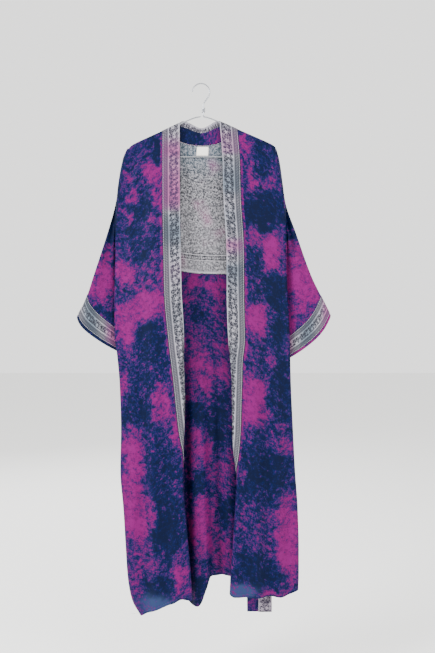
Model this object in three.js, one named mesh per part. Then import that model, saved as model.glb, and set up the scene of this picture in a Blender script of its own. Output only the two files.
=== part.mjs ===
// An open kimono robe of dyed sari silk with woven border bands, its own belt, and the wire hanger that
// holds it.
// Millimetres, +Z up. The robe's front faces -Y and the wearer's left is +X, so "right" names are at -X.
// The origin is the inner top of the hanger's hook, where a rail or peg carries it.
import * as THREE from "three";

// Cloth
const CLOTH = 1.5; // wall of every dyed panel, band and sleeve
const THIN_CLOTH = 1.0; // lining, label, belt loops
const SEAM_GAP = 0.3; // between pieces that are sewn together or lie on each other
const BAND_WIDTH = 50; // woven border down each front edge and round the neck
const CUFF_BAND_WIDTH = 58; // woven border round each sleeve end
const CUFF_STRIP = 8; // plain cloth that shows past the cuff band
const TURN_RADIUS = 5.5; // how softly the front edge rolls under
const SIDE_DEPTH = 9; // half the robe's depth where front and back meet at the side
const SIDE_ROUND = 14; // how far in from the side fold the rounding runs
const SHOULDER_FALL = 120; // length over which the cloth leaves the hanger's arm
const BODY_SWELL = 130; // distance in from the side over which the body reaches its full depth
const EDGE_BLEND = 28; // and over which the armhole's edge runs out into the body
const FOLD_FADE = 24; // and over which the folds grow
const UNDERARM_BLEND = 150; // height above the underarm over which the open armhole's form takes over

// Hanger
const WIRE_RADIUS = 1.75;
const WIRE_SIDES = 8;
const HOOK_RADIUS = 25;
const HOOK_TIP_ANGLE = 175;
const HOOK_END_ANGLE = -28;
const NECK_X = 7;
const NECK_TOP = -57;
const NECK_BOTTOM = -94;
const HANGER_MIDDLE = 2;
const HANGER_BAR_Z = -211;
const HANGER_TIP = 197;
const HANGER_CORNER = 9;
const SHOULDER_RADIUS = WIRE_RADIUS + 0.35 + CLOTH; // outer face of the cloth round the wire
const WIRE_DROP = SHOULDER_RADIUS * 1.1 + 0.35; // from the sloping shoulder line down to the wire's centre

// The shoulder line, the cloth's top over the hanger's arm, by distance from the middle.
const SHOULDER = [
  { out: 0, z: -90 },
  { out: 14, z: -92 },
  { out: 60, z: -110.5 },
  { out: 115, z: -136 },
  { out: 160, z: -156.5 },
  { out: 190, z: -170.5 },
  { out: 204, z: -178.5 },
  { out: 212, z: -187 },
];

// The side fold of the body at each height, where front and back panels meet.
const SIDE = [
  { z: -187, right: -212.5, left: 216.5 },
  { z: -220, right: -219.5, left: 219 },
  { z: -265, right: -227.5, left: 227 },
  { z: -310, right: -233, left: 235 },
  { z: -409, right: -244, left: 243 },
  { z: -510, right: -249, left: 247 },
  { z: -600, right: -251.5, left: 251 },
  { z: -720, right: -251, left: 257 },
  { z: -790, right: -243, left: 259 },
  { z: -870, right: -236, left: 261 },
  { z: -1003, right: -232, left: 267 },
  { z: -1119, right: -234, left: 273 },
  { z: -1235, right: -225, left: 281 },
  { z: -1351, right: -218, left: 284 },
  { z: -1420, right: -213.5, left: 284 },
  { z: -1467, right: -207, left: 282 },
  { z: -1500, right: -198, left: 280 },
  { z: -1544, right: -172, left: 278 },
];

// The front opening on each side. edge is the visible inner edge, band is how much of the woven band still
// shows
// there (less than nothing once the panel itself rolls over it), and turn is the angle that the rest rolls
// under.
const OPENING_RIGHT = [
  { z: -110, edge: -61.5, band: 50, turn: 0 },
  { z: -336, edge: -60, band: 50, turn: 0 },
  { z: -481, edge: -57, band: 50, turn: 0 },
  { z: -600, edge: -54, band: 50, turn: 0 },
  { z: -742, edge: -50, band: 42, turn: 70 },
  { z: -858, edge: -46, band: 32, turn: 130 },
  { z: -916, edge: -45, band: 27, turn: 155 },
  { z: -1003, edge: -47, band: 15, turn: 165 },
  { z: -1070, edge: -49, band: 0, turn: 168 },
  { z: -1150, edge: -49, band: -12, turn: 170 },
  { z: -1280, edge: -39, band: -16, turn: 170 },
  { z: -1409, edge: -28, band: -16, turn: 170 },
  { z: -1500, edge: -23, band: -16, turn: 168 },
];
const OPENING_LEFT = [
  { z: -110, edge: 53.5, band: 50, turn: 0 },
  { z: -220, edge: 62, band: 50, turn: 0 },
  { z: -336, edge: 65, band: 50, turn: 0 },
  { z: -481, edge: 73, band: 50, turn: 0 },
  { z: -626, edge: 74, band: 50, turn: 0 },
  { z: -742, edge: 80, band: 46, turn: 60 },
  { z: -800, edge: 84, band: 36, turn: 120 },
  { z: -870, edge: 89, band: 29, turn: 150 },
  { z: -1003, edge: 90, band: 24, turn: 165 },
  { z: -1070, edge: 94, band: 14, turn: 168 },
  { z: -1125, edge: 102, band: -4, turn: 170 },
  { z: -1200, edge: 99, band: -14, turn: 170 },
  { z: -1300, edge: 92, band: -16, turn: 170 },
  { z: -1420, edge: 84, band: -16, turn: 170 },
  { z: -1500, edge: 81, band: -16, turn: 168 },
];

// How far the fronts and the back stand off the hanger's plane away from the sides.
const DEPTH = [
  { z: -110, front: 0, back: 0 },
  { z: -250, front: 8, back: 1 },
  { z: -450, front: 20, back: 3 },
  { z: -700, front: 27, back: 4 },
  { z: -1100, front: 30, back: 6 },
  { z: -1550, front: 29, back: 8 },
];

// Hem heights, by share of the way from the side fold to the band seam, and across the back.
const HEM_RIGHT = [
  { share: 0, z: -1544 },
  { share: 0.12, z: -1540 },
  { share: 0.27, z: -1525 },
  { share: 0.6, z: -1496 },
  { share: 0.76, z: -1480 },
  { share: 0.93, z: -1485 },
  { share: 1.4, z: -1480 },
];
const HEM_LEFT = [
  { share: 0, z: -1466 },
  { share: 0.22, z: -1481 },
  { share: 0.36, z: -1476 },
  { share: 0.86, z: -1475 },
  { share: 0.94, z: -1466 },
  { share: 1.4, z: -1460 },
];
const HEM_BACK = [
  { x: -172, z: -1541 },
  { x: -128, z: -1512 },
  { x: -78, z: -1480 },
  { x: -42, z: -1475 },
  { x: -27, z: -1498 },
  { x: -12, z: -1513 },
  { x: 2, z: -1513 },
  { x: 16, z: -1502 },
  { x: 36, z: -1457 },
  { x: 46, z: -1432 },
  { x: 84, z: -1430 },
  { x: 160, z: -1437 },
  { x: 230, z: -1455 },
  { x: 280, z: -1465 },
];

// Folds. Each starts at height from, at x, leans by lean for each mm of drop, reaches its full depth after
// grow mm,
// and is width wide with flat telling how flat its crest is. A positive depth comes forward.
const FRONT_FOLDS = [
  { x: -196, from: -300, lean: 0.0, grow: 900, width: 17, depth: 5, flat: 1 },
  { x: -168, from: -260, lean: 0.004, grow: 900, width: 13, depth: -4, flat: 1 },
  { x: -146, from: -420, lean: 0.012, grow: 800, width: 17, depth: 7, flat: 1.3 },
  { x: -112, from: -500, lean: 0.02, grow: 800, width: 13, depth: -6, flat: 1 },
  { x: -92, from: -640, lean: 0.026, grow: 700, width: 13, depth: 4, flat: 1 },
  { x: 124, from: -560, lean: 0.006, grow: 800, width: 14, depth: -5, flat: 1 },
  { x: 148, from: -430, lean: 0.01, grow: 900, width: 17, depth: 7, flat: 1.3 },
  { x: 178, from: -300, lean: 0.012, grow: 900, width: 13, depth: -6, flat: 1 },
  { x: 206, from: -330, lean: 0.018, grow: 900, width: 18, depth: 6, flat: 1.2 },
  { x: 234, from: -620, lean: 0.02, grow: 800, width: 12, depth: -3, flat: 1 },
];
const BACK_FOLDS = [
  { x: -20, from: -640, lean: 0.026, grow: 520, width: 26, depth: 24, flat: 2.4 },
  { x: 42, from: -560, lean: 0.022, grow: 600, width: 11, depth: -8, flat: 1 },
  { x: 76, from: -700, lean: 0.018, grow: 700, width: 14, depth: 6, flat: 1 },
  { x: 116, from: -620, lean: 0.018, grow: 800, width: 16, depth: -9, flat: 1.2 },
  { x: 150, from: -860, lean: 0.02, grow: 600, width: 14, depth: 8, flat: 1 },
  { x: 196, from: -880, lean: 0.03, grow: 600, width: 18, depth: -8, flat: 1.2 },
  { x: 236, from: -900, lean: 0.03, grow: 600, width: 12, depth: 4, flat: 1 },
  { x: -62, from: -600, lean: 0.02, grow: 700, width: 13, depth: -9, flat: 1 },
  { x: -104, from: -560, lean: 0.012, grow: 800, width: 18, depth: 7, flat: 1.2 },
  { x: -146, from: -850, lean: 0.01, grow: 620, width: 15, depth: -9, flat: 1 },
  { x: -186, from: -900, lean: 0.01, grow: 600, width: 14, depth: 5, flat: 1 },
];

// Neck edge of the back panel, by distance from the middle.
const NECK_HALF = 113;
const NECK_CURL = 5; // over which its ends come down off the hanger's arm
const NECK_EDGE = [
  { out: 0, z: -177.5 },
  { out: 34, z: -174.5 },
  { out: 60, z: -167 },
  { out: 90, z: -152.5 },
  { out: 108, z: -136.5 },
];
// Free upper edge of the neck band from the wearer's right shoulder round the back to the left, and how far
// back it is.
const NECK_RIM = [
  { round: 0, x: -61, y: 3.8, z: -113.5 },
  { round: 0.06, x: -59.5, y: 5.4, z: -109 },
  { round: 0.14, x: -54, y: 7.4, z: -105.5 },
  { round: 0.25, x: -40, y: 10.5, z: -108.5 },
  { round: 0.5, x: 1, y: 13.5, z: -124.7 },
  { round: 0.75, x: 39, y: 10.5, z: -108 },
  { round: 0.86, x: 49, y: 7.4, z: -104.5 },
  { round: 0.94, x: 52.5, y: 5.4, z: -106.5 },
  { round: 1, x: 53.5, y: 3.8, z: -110.5 },
];

// Sleeves. outer is the fold along the top of the arm, inner is the underarm fold, which passes behind the
// body.
const ARMHOLE_TOP = -187;
const ARMHOLE_BOTTOM = -478;
const ARMHOLE_SPREAD = 24; // drop over which it opens out below the shoulder tip
const ARMHOLE_ROUND = 14; // rise over which it rounds together at the underarm
const SLEEVE_RIGHT = [
  { along: 0, outerX: -213.5, outerZ: -187, innerX: -248, innerZ: -478 },
  { along: 0.07, outerX: -228, outerZ: -221, innerX: -249.5, innerZ: -501 },
  { along: 0.17, outerX: -236.5, outerZ: -278, innerX: -246, innerZ: -537 },
  { along: 0.3, outerX: -247.5, outerZ: -338, innerX: -236, innerZ: -583 },
  { along: 0.5, outerX: -272, outerZ: -430, innerX: -207, innerZ: -653 },
  { along: 0.75, outerX: -311, outerZ: -551, innerX: -165, innerZ: -741 },
  { along: 0.91, outerX: -337, outerZ: -628, innerX: -139, innerZ: -797 },
  { along: 1, outerX: -360, outerZ: -672, innerX: -125, innerZ: -829 },
];
const SLEEVE_LEFT = [
  { along: 0, outerX: 217.5, outerZ: -187, innerX: 246, innerZ: -478 },
  { along: 0.07, outerX: 227.5, outerZ: -221, innerX: 247.5, innerZ: -501 },
  { along: 0.17, outerX: 237.5, outerZ: -278, innerX: 245, innerZ: -540 },
  { along: 0.3, outerX: 246, outerZ: -338, innerX: 239, innerZ: -589 },
  { along: 0.5, outerX: 276, outerZ: -430, innerX: 222, innerZ: -663 },
  { along: 0.75, outerX: 321, outerZ: -556, innerX: 192, innerZ: -756 },
  { along: 0.91, outerX: 357, outerZ: -630, innerX: 173, innerZ: -815 },
  { along: 1, outerX: 377, outerZ: -670, innerX: 162, innerZ: -848 },
];
const SLEEVE_DEPTH = 8; // half the depth of the flattened tube
const SLEEVE_ROUND = 0.05; // share of its width that each fold rounds over
const CLOSING_GAP = 1.4; // more room at the armhole's two ends, where its ring closes
const SLEEVE_BACK = 10; // how far back the sleeve hangs outside the body
const SLEEVE_TUCK = 14; // and how much further behind the back panel
const BACK_OUTER = 0.2; // share of its length in which its outer fold goes back
const BACK_INNER = 0.07; // and its underarm fold

// Lining of the upper back, label, belt and its loops
const LINING_HALF = 172;
const LINING_TOP_DROP = 12;
const LINING_BOTTOM = [
  { x: -190, z: -536 },
  { x: -55, z: -542 },
  { x: 0, z: -549 },
  { x: 72, z: -551 },
  { x: 190, z: -553 },
];
const LABEL = { left: -12, right: 22, top: -181, bottom: -207 };
const LOOP_X = 168;
const LOOP_Z = -594;
const LOOP_HALF = 17;
const LOOP_WIDTH = 7;
const LOOP_STAND = 7;
const LOOP_STEPS = 10;
const BELT_GATHER_WIDTH = 15;
const BELT_GATHER_THICK = 4.6;
const BELT_STEPS = 38;
// The belt goes up one side, over through the loop and down the other. back is its distance behind the
// hanger's plane.
const BELT = [
  { z: -1545, x: 152, back: 38, width: 33, otherX: 188.5, otherBack: 34.5, otherWidth: 40, thick: 2 },
  { z: -1400, x: 152, back: 38, width: 36, otherX: 188.5, otherBack: 34.5, otherWidth: 39, thick: 2 },
  { z: -1150, x: 151, back: 38, width: 36, otherX: 189, otherBack: 34.5, otherWidth: 38, thick: 2 },
  { z: -950, x: 150, back: 38, width: 36, otherX: 190, otherBack: 36, otherWidth: 37, thick: 2 },
  { z: -850, x: 148, back: 39, width: 36, otherX: 192, otherBack: 39, otherWidth: 36, thick: 2 },
  { z: -780, x: 148, back: 38, width: 34, otherX: 192, otherBack: 38, otherWidth: 34, thick: 2 },
  { z: -705, x: 149, back: 32, width: 30, otherX: 191, otherBack: 32, otherWidth: 30, thick: 2.4 },
  { z: -650, x: 151, back: 22.5, width: 22, otherX: 189, otherBack: 22.5, otherWidth: 22, thick: 3.2 },
  { z: -625, x: 150, back: 17.6, width: 17, otherX: 190, otherBack: 17.6, otherWidth: 17, thick: 4 },
];

// Value of one column of a table at a place along another, on a smooth curve that never overshoots its
// rows.
function table(rows, key, column, at) {
  const last = rows.length - 1;
  const sign = rows[last][key] > rows[0][key] ? 1 : -1;
  if ((at - rows[0][key]) * sign <= 0) return rows[0][column];
  if ((at - rows[last][key]) * sign >= 0) return rows[last][column];
  let i = 0;
  while ((at - rows[i + 1][key]) * sign > 0) i += 1;
  const slope = (k) => (rows[k + 1][column] - rows[k][column]) / (rows[k + 1][key] - rows[k][key]);
  const tangent = (k) => {
    if (k === 0) return slope(0);
    if (k === last) return slope(last - 1);
    const before = slope(k - 1);
    const after = slope(k);
    return before * after <= 0 ? 0 : (2 * before * after) / (before + after);
  };
  const span = rows[i + 1][key] - rows[i][key];
  const t = (at - rows[i][key]) / span;
  const rise = 3 * t * t - 2 * t * t * t;
  const start = t * (1 - t) * (1 - t) * span * tangent(i);
  const end = t * t * (t - 1) * span * tangent(i + 1);
  return rows[i][column] * (1 - rise) + rows[i + 1][column] * rise + start + end;
}

const mix = (a, b, t) => a + (b - a) * t;
const clamp = (value, low, high) => Math.min(high, Math.max(low, value));
const ease = (value) => {
  const t = clamp(value, 0, 1);
  return t * t * (3 - 2 * t);
};
// Quarter-round profile: 0 at an edge, 1 from one rounding length in.
const rounded = (share) => {
  const rest = 1 - clamp(share, 0, 1);
  return Math.sqrt(Math.max(0, 1 - rest * rest));
};

// Heights and places on the body

const shoulderZ = (x) => table(SHOULDER, "out", "z", Math.abs(x - HANGER_MIDDLE));
const curlLength = (SHOULDER_RADIUS * Math.PI) / 2;

// Height of a point that lies down the cloth by drop from the shoulder line at top.
function dropZ(top, drop) {
  if (drop < curlLength) return top - SHOULDER_RADIUS * (1 - Math.cos(drop / SHOULDER_RADIUS));
  return top - SHOULDER_RADIUS - (drop - curlLength);
}

const dropTo = (top, z) => curlLength + (top - SHOULDER_RADIUS - z);

// Half depth of the side edge at a height, round the hanger's arm by curl and below it by the drop from
// there: it
// opens below the tip of the arm and closes at the underarm.
function edgeDepth(curl, below, z) {
  const spread = (SIDE_DEPTH - SHOULDER_RADIUS) * ease(below / ARMHOLE_SPREAD);
  return (curl + spread) * rounded((z - ARMHOLE_BOTTOM) / ARMHOLE_ROUND);
}

// Half depth of the armhole at a height.
function armholeDepth(z) {
  const below = ARMHOLE_TOP - z;
  if (below <= 0 || z <= ARMHOLE_BOTTOM) return 0;
  return edgeDepth(SHOULDER_RADIUS * rounded(below / SHOULDER_RADIUS), below - SHOULDER_RADIUS, z);
}

// Distance of a panel from the hanger's plane: round the wire, then falling away, rounded in to the side
// fold. Past
// an edge it goes on as the other panel does, so that the edge's normal is true.
function standOff(drop, inward, z, middleDepth) {
  if (drop < 0) return SEAM_GAP - standOff(-drop, inward, z, middleDepth);
  const closed = z <= ARMHOLE_BOTTOM;
  if (inward < 0 && closed) return SEAM_GAP - standOff(drop, -inward, z, middleDepth);
  const curl = SHOULDER_RADIUS * Math.sin(Math.min(drop / SHOULDER_RADIUS, Math.PI / 2));
  const below = drop - curlLength;
  const fall = below <= 0 ? 0 : 1 - Math.exp(-below / SHOULDER_FALL);
  const edge = closed ? 0 : edgeDepth(curl, below, z);
  const side = edge + (SIDE_DEPTH - edge) * rounded(inward / SIDE_ROUND);
  const body = side + middleDepth * ease((inward - SIDE_ROUND / 2) / BODY_SWELL);
  const inside = curl + fall * Math.max(0, body - curl);
  const open = mix(edge, inside, ease(inward / EDGE_BLEND));
  return SEAM_GAP / 2 + mix(body, open, ease((z - ARMHOLE_BOTTOM) / UNDERARM_BLEND));
}

// Sum of the folds at a place, positive towards the front.
function foldAt(folds, x, z) {
  let sum = 0;
  for (const fold of folds) {
    const below = fold.from - z;
    if (below <= 0) continue;
    const away = Math.abs(x - fold.x - fold.lean * below) / fold.width;
    sum += fold.depth * ease(below / fold.grow) * Math.exp(-(away ** (2 * fold.flat)));
  }
  return sum;
}

// A front panel with its band, as one surface. across is the distance along the cloth from the band seam,
// less than
// nothing on the panel and more on the band. toward is +1 on the wearer's right side and -1 on the left.
function frontSide(isRight) {
  const opening = isRight ? OPENING_RIGHT : OPENING_LEFT;
  const hem = isRight ? HEM_RIGHT : HEM_LEFT;
  const sideName = isRight ? "right" : "left";
  const toward = isRight ? 1 : -1;
  const open = (column, z) => table(opening, "z", column, z);
  const sideX = (z) => table(SIDE, "z", sideName, z);
  const seamX = (z) => open("edge", z) - toward * open("band", z);
  const widthAt = (z) => toward * (seamX(z) - sideX(z));
  const topX = (across) => seamX(-125) + toward * across;

  function point(across, drop) {
    const top = shoulderZ(topX(across));
    const z = dropZ(top, drop);
    const band = open("band", z);
    const turn = THREE.MathUtils.degToRad(open("turn", z));
    const start = band - TURN_RADIUS;
    let along = across;
    let behind = 0;
    if (turn > 0 && across > start) {
      const angle = Math.min((across - start) / TURN_RADIUS, turn);
      const rest = Math.max(0, across - start - TURN_RADIUS * turn);
      along = start + TURN_RADIUS * Math.sin(angle) + rest * Math.cos(turn);
      behind = TURN_RADIUS * (1 - Math.cos(angle)) + rest * Math.sin(turn);
    }
    const x = seamX(z) + toward * along;
    const visible = Math.min(across, start);
    const inward = widthAt(z) + visible;
    const forward = standOff(drop, inward, z, table(DEPTH, "z", "front", z));
    const folds = foldAt(FRONT_FOLDS, seamX(z) + toward * visible, z) * rounded((inward - 2) / FOLD_FADE);
    return new THREE.Vector3(x, behind - forward - folds, z);
  }

  function hemDrop(across) {
    const width = widthAt(-1500);
    const z = table(hem, "share", "z", 1 + across / width);
    return dropTo(shoulderZ(topX(across)), z);
  }

  return { point, hemDrop, widthAt, sideX, topX };
}

const RIGHT = frontSide(true);
const LEFT = frontSide(false);

const topAtShare = (share) => mix(SIDE[0].right, SIDE[0].left, share);
const shareAtTop = (x) => (x - SIDE[0].right) / (SIDE[0].left - SIDE[0].right);

// The back panel as one surface, by its share of the way from the right side fold to the left one.
function backPoint(share, drop) {
  const z = dropZ(shoulderZ(topAtShare(share)), drop);
  const right = table(SIDE, "z", "right", z);
  const left = table(SIDE, "z", "left", z);
  const x = mix(right, left, share);
  const inward = Math.min(x - right, left - x);
  const behind = standOff(drop, inward, z, table(DEPTH, "z", "back", z));
  const folds = foldAt(BACK_FOLDS, x, z) * rounded((inward - 2) / FOLD_FADE);
  return new THREE.Vector3(x, behind - folds, z);
}

function backStart(share) {
  const x = topAtShare(share);
  const out = Math.abs(x - HANGER_MIDDLE);
  if (out >= NECK_HALF - NECK_CURL) return (curlLength * Math.max(0, NECK_HALF - out)) / NECK_CURL;
  return Math.max(curlLength, dropTo(shoulderZ(x), table(NECK_EDGE, "out", "z", out)));
}

function backHemDrop(share) {
  const right = table(SIDE, "z", "right", -1541);
  const left = table(SIDE, "z", "left", -1465);
  const x = mix(right, left, share);
  return dropTo(shoulderZ(topAtShare(share)), table(HEM_BACK, "x", "z", x));
}

// A sleeve as one closed tube. round runs 0 to 1 down the front from the outer fold and 1 to 2 up the back.
function sleevePoint(isRight, along, round) {
  const rows = isRight ? SLEEVE_RIGHT : SLEEVE_LEFT;
  const side = isRight ? RIGHT.sideX : LEFT.sideX;
  const toward = isRight ? 1 : -1;
  const lap = ((round % 2) + 2) % 2;
  const front = lap <= 1;
  const down = front ? lap : 2 - lap;
  const row = (column) => table(rows, "along", column, along);
  const bow = down ** 1.5;
  const startZ = mix(ARMHOLE_TOP, ARMHOLE_BOTTOM, down);
  const startX = mix(rows[0].outerX, rows[0].innerX, bow);
  const clear = SEAM_GAP + CLOSING_GAP * (1 - armholeDepth(startZ) / SIDE_DEPTH);
  const x = side(startZ) - toward * clear + mix(row("outerX"), row("innerX"), bow) - startX;
  const z = mix(row("outerZ"), row("innerZ"), down);
  const flat = SLEEVE_DEPTH * rounded(Math.min(down, 1 - down) / SLEEVE_ROUND);
  const half = mix(armholeDepth(startZ), flat, ease(along / 0.3));
  const inside = (x - side(z)) * toward;
  const tuck = SLEEVE_TUCK * ease((inside + 45) / 55);
  const centre = (SLEEVE_BACK + tuck) * ease(along / mix(BACK_OUTER, BACK_INNER, down ** 2));
  const soft = 2.2 * ease(along / 0.4) * Math.sin(2 * Math.PI * (2.1 * down - 0.7 * along));
  return new THREE.Vector3(x, centre + (front ? -half : half) + soft * (half / SIDE_DEPTH), z);
}

const sleeveLength = (isRight, down) => {
  const rows = isRight ? SLEEVE_RIGHT : SLEEVE_LEFT;
  const first = rows[0];
  const end = rows[rows.length - 1];
  const outer = Math.hypot(end.outerX - first.outerX, end.outerZ - first.outerZ);
  const inner = Math.hypot(end.innerX - first.innerX, end.innerZ - first.innerZ);
  return mix(outer, inner, down);
};

// Unit normal of a surface at (u, v), from close points on either side. outwards picks its side.
function normalAt(surface, u, v, stepU, stepV, outwards) {
  const alongU = surface(u + stepU, v).sub(surface(u - stepU, v));
  const alongV = surface(u, v + stepV).sub(surface(u, v - stepV));
  return alongU.cross(alongV).normalize().multiplyScalar(outwards);
}

// Solids

// A body of these faces, turned so that they face out.
function closedBody(points, faces) {
  let volume = 0;
  for (const [a, b, c] of faces) volume += points[a].dot(points[b].clone().cross(points[c]));
  const index = volume > 0 ? faces.flat() : faces.flatMap(([a, b, c]) => [a, c, b]);
  const places = points.flatMap((point) => point.toArray());
  const geometry = new THREE.BufferGeometry();
  geometry.setAttribute("position", new THREE.Float32BufferAttribute(places, 3));
  geometry.setIndex(index);
  geometry.computeVertexNormals();
  return geometry;
}

// A closed wall between two grids of points. wrap joins its last column to its first.
function wall(outer, inner, wrap = false) {
  const rows = outer.length;
  const columns = outer[0].length;
  const points = [...outer.flat(), ...inner.flat()];
  const at = (layer, row, column) => (layer * rows + row) * columns + (column % columns);
  const faces = [];
  const quad = (a, b, c, d) => faces.push([a, b, c], [a, c, d]);
  const spans = wrap ? columns : columns - 1;
  for (let row = 0; row < rows - 1; row += 1) {
    for (let column = 0; column < spans; column += 1) {
      quad(at(0, row, column), at(0, row, column + 1), at(0, row + 1, column + 1), at(0, row + 1, column));
      quad(at(1, row, column), at(1, row + 1, column), at(1, row + 1, column + 1), at(1, row, column + 1));
    }
  }
  const end = rows - 1;
  for (let column = 0; column < spans; column += 1) {
    quad(at(0, 0, column + 1), at(0, 0, column), at(1, 0, column), at(1, 0, column + 1));
    quad(at(0, end, column), at(0, end, column + 1), at(1, end, column + 1), at(1, end, column));
  }
  if (!wrap) {
    for (let row = 0; row < rows - 1; row += 1) {
      quad(at(0, row, 0), at(0, row + 1, 0), at(1, row + 1, 0), at(1, row, 0));
      quad(at(0, row + 1, spans), at(0, row, spans), at(1, row, spans), at(1, row + 1, spans));
    }
  }
  return closedBody(points, faces);
}

// A wall on a surface. cells gives the (u, v) of each point, lift is how far its near face stands off the
// surface
// (less than nothing for a face inside it) and thick is its thickness, which goes on away from the near
// face. A tube
// wraps, and its first row, which meets the body, is cut square to it.
function surfaceWall(surface, cells, steps, outwards, lift, thick, tube = false) {
  const near = [];
  const far = [];
  cells.forEach((row, index) => {
    near.push([]);
    far.push([]);
    for (const [u, v] of row) {
      const normal = normalAt(surface, u, v, steps[0], steps[1], outwards);
      if (tube && index === 0) normal.setX(0).normalize();
      const point = surface(u, v);
      near[index].push(point.clone().addScaledVector(normal, lift));
      far[index].push(point.clone().addScaledVector(normal, lift + thick));
    }
  });
  return wall(near, far, tube);
}

// Places down a panel: round the hanger's arm, then at fixed heights, close together where the armhole
// ends.
const CURL_ROWS = [0, 0.34, 0.67, 1];
const YOKE_ROWS = [0.33, 0.66];
const YOKE_LEVELS = [-238, -300, -370, -430];
const UNDERARM_LEVELS = [-461, -471.4, -476.3, -478, -492];
const SKIRT_LEVELS = [-550, -630, -730, -840, -950, -1060, -1170, -1290];
const LEVELS = [...YOKE_LEVELS, ...UNDERARM_LEVELS, ...SKIRT_LEVELS];
const HEM_ROWS = [0.5, 1];
const ROW_COUNT = CURL_ROWS.length + YOKE_ROWS.length + LEVELS.length + HEM_ROWS.length;

// Drop of one row in a column that starts at drop start under a shoulder line at top and ends at drop end.
function rowDrop(row, top, start, end) {
  if (row < CURL_ROWS.length) return start + CURL_ROWS[row] * curlLength;
  const first = start + curlLength;
  const yoke = row - CURL_ROWS.length;
  if (yoke < YOKE_ROWS.length) return mix(first, dropTo(top, LEVELS[0]), YOKE_ROWS[yoke]);
  const level = yoke - YOKE_ROWS.length;
  if (level < LEVELS.length) return dropTo(top, LEVELS[level]);
  return mix(dropTo(top, LEVELS[LEVELS.length - 1]), end, HEM_ROWS[level - LEVELS.length]);
}

const SIDE_COLUMNS = [0, 1.6, 6, 14];
const SEAM_COLUMNS = [27, 19, 13, 8, 4, 0];
const MIDDLE_COLUMNS = 9;

function frontPanel(side) {
  const columns = SIDE_COLUMNS.length + MIDDLE_COLUMNS + SEAM_COLUMNS.length;
  const acrossAt = (column, z) => {
    const width = side.widthAt(z);
    if (column < SIDE_COLUMNS.length) return SIDE_COLUMNS[column] - width;
    const fromSeam = column - SIDE_COLUMNS.length - MIDDLE_COLUMNS;
    if (fromSeam >= 0) return -SEAM_COLUMNS[fromSeam];
    const share = (column - SIDE_COLUMNS.length + 1) / (MIDDLE_COLUMNS + 1);
    return mix(SIDE_COLUMNS[SIDE_COLUMNS.length - 1] - width, -SEAM_COLUMNS[0], share);
  };
  const cells = [];
  for (let row = 0; row < ROW_COUNT; row += 1) {
    cells.push([]);
    for (let column = 0; column < columns; column += 1) {
      let across = acrossAt(column, -150);
      let drop = 0;
      for (let pass = 0; pass < 6; pass += 1) {
        drop = rowDrop(row, shoulderZ(side.topX(across)), 0, side.hemDrop(across));
        across = acrossAt(column, side.point(across, drop).z);
      }
      cells[row].push([across, drop]);
    }
  }
  const outwards = side === RIGHT ? -1 : 1;
  return surfaceWall(side.point, cells, [0.05, 0.02], outwards, 0, -CLOTH);
}

const BAND_COLUMNS = [SEAM_GAP, 8, 16, 24, 32, 41, BAND_WIDTH];

function frontBand(side) {
  const cells = [];
  for (let row = 0; row < ROW_COUNT; row += 1) {
    const dropAt = (across) => rowDrop(row, shoulderZ(side.topX(across)), 0, side.hemDrop(across));
    cells.push(BAND_COLUMNS.map((across) => [across, dropAt(across)]));
  }
  const outwards = side === RIGHT ? -1 : 1;
  return surfaceWall(side.point, cells, [0.05, 0.02], outwards, 0, -CLOTH);
}

const BACK_EDGE_COLUMNS = [0, 1.6, 6, 14];
const BACK_MIDDLE_COLUMNS = 27;
const BACK_MIDDLE_CROWD = 0.045;

// Column places across the back at a height, as shares of its width: close at the sides, one at each neck
// corner.
function backShares(z) {
  const width = table(SIDE, "z", "left", z) - table(SIDE, "z", "right", z);
  const edge = BACK_EDGE_COLUMNS.map((inward) => inward / width);
  const first = edge[edge.length - 1];
  const outs = [NECK_HALF, NECK_HALF - NECK_CURL / 2, NECK_HALF - NECK_CURL];
  const corners = [...outs.map((out) => -out), ...outs].map((out) => shareAtTop(HANGER_MIDDLE + out));
  const shares = [...edge, ...corners];
  for (let i = 1; i <= BACK_MIDDLE_COLUMNS; i += 1) {
    const t = i / (BACK_MIDDLE_COLUMNS + 1);
    const share = mix(first, 1 - first, t + BACK_MIDDLE_CROWD * Math.sin(2 * Math.PI * t));
    if (corners.every((corner) => Math.abs(corner - share) > 0.011)) shares.push(share);
  }
  shares.push(...edge.map((inward) => 1 - inward));
  return shares.sort((a, b) => a - b);
}

function backPanel() {
  const cells = [];
  for (let row = 0; row < ROW_COUNT; row += 1) {
    cells.push([]);
    for (let column = 0; column < backShares(-500).length; column += 1) {
      let share = backShares(-150)[column];
      let drop = 0;
      for (let pass = 0; pass < 6; pass += 1) {
        drop = rowDrop(row, shoulderZ(topAtShare(share)), backStart(share), backHemDrop(share));
        share = backShares(backPoint(share, drop).z)[column];
      }
      cells[row].push([share, drop]);
    }
  }
  return surfaceWall(backPoint, cells, [0.0002, 0.02], 1, 0, -CLOTH);
}

const LINING_COLUMNS = 15;
const LINING_ROWS = 9;

function liningCells() {
  const cells = [];
  for (let row = 0; row <= LINING_ROWS; row += 1) {
    cells.push([]);
    for (let column = 0; column <= LINING_COLUMNS; column += 1) {
      const x = mix(-LINING_HALF, LINING_HALF, column / LINING_COLUMNS);
      const share = shareAtTop(x);
      const start = Math.max(backStart(share) + 1.5, LINING_TOP_DROP);
      const end = dropTo(shoulderZ(x), table(LINING_BOTTOM, "x", "z", x));
      cells[row].push([share, mix(start, end, row / LINING_ROWS)]);
    }
  }
  return cells;
}

function lining() {
  return surfaceWall(backPoint, liningCells(), [0.0002, 0.02], 1, -CLOTH - 2 * SEAM_GAP, -THIN_CLOTH);
}

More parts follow.
